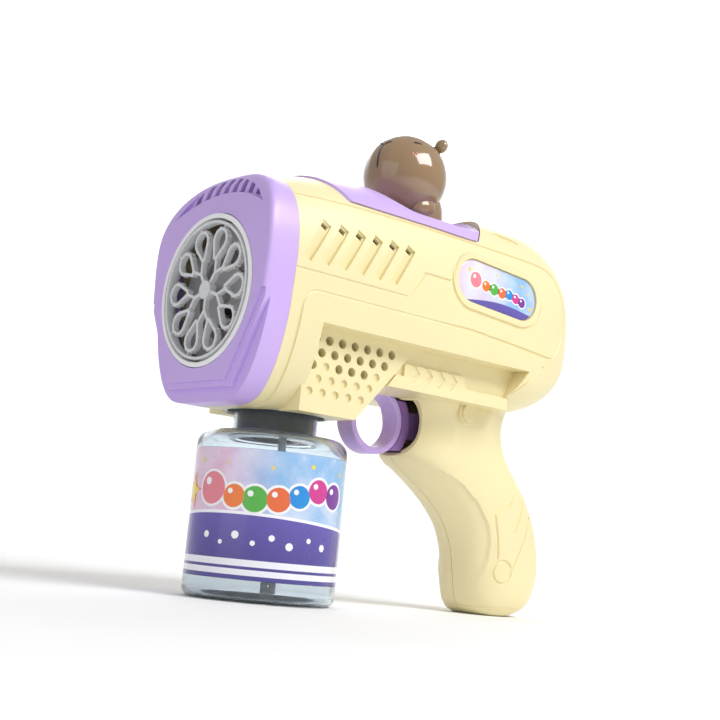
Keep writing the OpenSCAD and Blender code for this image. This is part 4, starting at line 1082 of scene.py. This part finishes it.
# Print on the label: bubbles with white rims and small stars, in place of lettering
WORD = [("pink", -16.5, 41.5, 6.2), ("orange", -6.2, 39.0, 4.4), ("green", 2.2, 38.3, 4.9),
        ("coral", 11.2, 38.8, 4.6), ("sky", 19.3, 40.6, 4.3), ("magenta", 27.6, 43.4, 4.6),
        ("violet", 36.6, 42.2, 4.8)]
parts = {k: [] for k in INKS}
for turn in (0, 94.2):
    for color, u, v, r in WORD:
        parts["white"].append(label_patch("p", circle(u + turn, v, r + 1.0), 30.03))
        parts[color].append(label_patch("p", circle(u + turn, v, r), 30.07))
        glint = circle(u + turn - r * 0.36, v + r * 0.4, r * 0.24, 16)
        parts["white"].append(label_patch("p", glint, 30.10))
    parts["coral"].append(label_patch("p", star_outline(-31 + turn, 40, 7.6, 0.2), 30.05))
    parts["yellow"].append(label_patch("p", star_outline(-31 + turn, 40, 5.8, 0.2), 30.08))
    for u, v, r in ((-24, 52, 1.4), (8, 50.5, 1.0), (24, 52.5, 1.3), (40, 51.0, 1.1), (-10, 51.5, 0.8)):
        parts["yellow"].append(label_patch("p", star_outline(u + turn, v, r), 30.05))
    for u, v, r in ((-17, 24, 1.3), (-10, 21.6, 0.9), (-4, 24.6, 1.5), (3, 22, 1.0), (10, 24.4, 1.2),
                    (17, 21.8, 1.5), (25, 24.6, 1.0), (32, 22.4, 1.4)):
        parts["white"].append(label_patch("p", circle(u + turn, v, r, 18), 30.05))
for color, items in parts.items():
    if items:
        piece(group("label_" + color, items), inks[color], "bottle", "label_print", angle=60)

# Badges: the same print on a flat film
BADGE_WORD = [("pink", -10.5, 1.8, 3.3), ("orange", -4.2, 0.3, 2.3), ("green", 0.8, -0.2, 2.5),
              ("coral", 5.8, -0.8, 2.3), ("sky", 10.2, -0.6, 2.2), ("magenta", 14.4, -1.6, 2.1),
              ("violet", 18.4, -2.6, 2.1)]
FILM_X = HALF_W - 0.8


def badge_mark(outline, side, x0, x1):
    """A raised mark on the film, from x0 to x1 outside its face."""
    return prism("m", outline, 0, *sorted((side * (FILM_X + x0), side * (FILM_X + x1))))


for side, name in ((1, "badge_left"), (-1, "badge_right")):
    plate = loft(name + "_looks", [
        [(side * x, BADGE_Y + (y - BADGE_Y) * k, BADGE_Z + (z - BADGE_Z) * k) for y, z in badge_outline(8.9)]
        for x, k in ((HALF_W - 1.5, 1), (HALF_W - 0.95, 1), (FILM_X, 0.985))])
    piece(plate, badge_film, "housing", "badge_print", name)
    marks = {k: [] for k in INKS}
    for color, u, v, r in BADGE_WORD:
        y, z = BADGE_Y + side * (u - 3), BADGE_Z + v
        for key, rr, x1 in (("white", r + 0.55, 0.06), (color, r, 0.10)):
            marks[key].append(badge_mark(circle(y, z, rr, 24), side, -0.02, x1))
        marks["white"].append(badge_mark(circle(y - r * 0.3, z + r * 0.4, r * 0.26, 14), side, 0, 0.13))
    for u, v, r in ((-17.5, 5.5, 1.2), (14.5, 4.6, 0.9), (19, 1.8, 0.8), (20.6, -4.4, 1.1), (-1, 6.2, 0.7)):
        marks["yellow"].append(badge_mark(star_outline(BADGE_Y + u, BADGE_Z + v, r), side, -0.02, 0.08))
    for color, items in marks.items():
        if items:
            piece(group(name + "_" + color, items), inks[color], "housing", "badge_print", angle=60)


# ---------------------------------------------------------------- stage, lights, camera
# VIEW_TURN is the camera's turn about Z; the floor sweeps up behind the toy, away from the camera
VIEW_TURN, VIEW_TILT, VIEW_ROLL = math.radians(49.85), math.radians(-8.5), math.radians(5.37)
CAMERA_AT = Vector((410.05, -304.90, 22.53))
away = Vector((-math.sin(VIEW_TURN), math.cos(VIEW_TURN), 0))
right_v = Vector((math.cos(VIEW_TURN), math.sin(VIEW_TURN), 0))
floor_me = bpy.data.meshes.new("stage_floor")
verts, faces = [], []
sweep_path = [(-3.0, 0.0), (1.6, 0.0)] + quarter(1.6, 0.8, 0.8, 0.8, -80, 0, 10) + [(2.4, 4.0)]
for d, h in sweep_path:
    for s in (-4, 4):
        verts.append(away * d + right_v * s + Vector((0, 0, h - 0.0002)))
for j in range(len(sweep_path) - 1):
    faces.append((2 * j, 2 * j + 1, 2 * j + 3, 2 * j + 2))
floor_me.from_pydata(verts, [], faces)
floor = link(bpy.data.objects.new("stage_floor", floor_me))
floor.data.shade_smooth()
dress(floor, principled("stage", (0.93, 0.93, 0.93), 0.9)[0])


def area(name, at, look, size, power_w, color=(1, 1, 1)):
    li = bpy.data.lights.new(name, "AREA")
    li.shape = "RECTANGLE"
    li.size, li.size_y = size
    li.energy = power_w
    li.color = color
    ob = link(bpy.data.objects.new(name, li))
    ob.location = at
    ob.rotation_euler = (Vector(look) - Vector(at)).to_track_quat("-Z", "Y").to_euler()
    return ob


TOY_MIDDLE = (0, 0.05, 0.11)
area("key", (0.75, 0.25, 0.85), TOY_MIDDLE, (0.7, 0.5), 9)
area("fill", (0.1, -1.1, 0.35), TOY_MIDDLE, (0.9, 0.7), 1.2)
area("rim", (-0.7, 0.7, 0.8), TOY_MIDDLE, (0.6, 0.6), 3)
area("backdrop", away * 1.2 + Vector((0, 0, 1.5)), away * 2.4 + Vector((0, 0, 0.6)), (2.5, 0.6), 24)
world = bpy.data.worlds.new("world")
bpy.context.scene.world = world
world.use_nodes = True
sky_light = world.node_tree.nodes["Background"]
sky_light.inputs["Color"].default_value = (1, 1, 1, 1)
sky_light.inputs["Strength"].default_value = 0.46

cam_data = bpy.data.cameras.new("camera")
cam_data.lens = 63.92
cam_data.sensor_width = 36
cam_data.clip_start = 0.01
camera = link(bpy.data.objects.new("camera", cam_data))
back = -away * math.cos(VIEW_TILT) + Vector((0, 0, math.sin(VIEW_TILT)))
up_v = back.cross(right_v)
cam_right = right_v * math.cos(VIEW_ROLL) + up_v * math.sin(VIEW_ROLL)
cam_up = up_v * math.cos(VIEW_ROLL) - right_v * math.sin(VIEW_ROLL)
axes = Matrix((cam_right, cam_up, back)).transposed().to_4x4()
camera.matrix_world = Matrix.Translation(CAMERA_AT * MM) @ axes
bpy.context.scene.camera = camera
bpy.context.scene.view_settings.view_transform = "Standard"
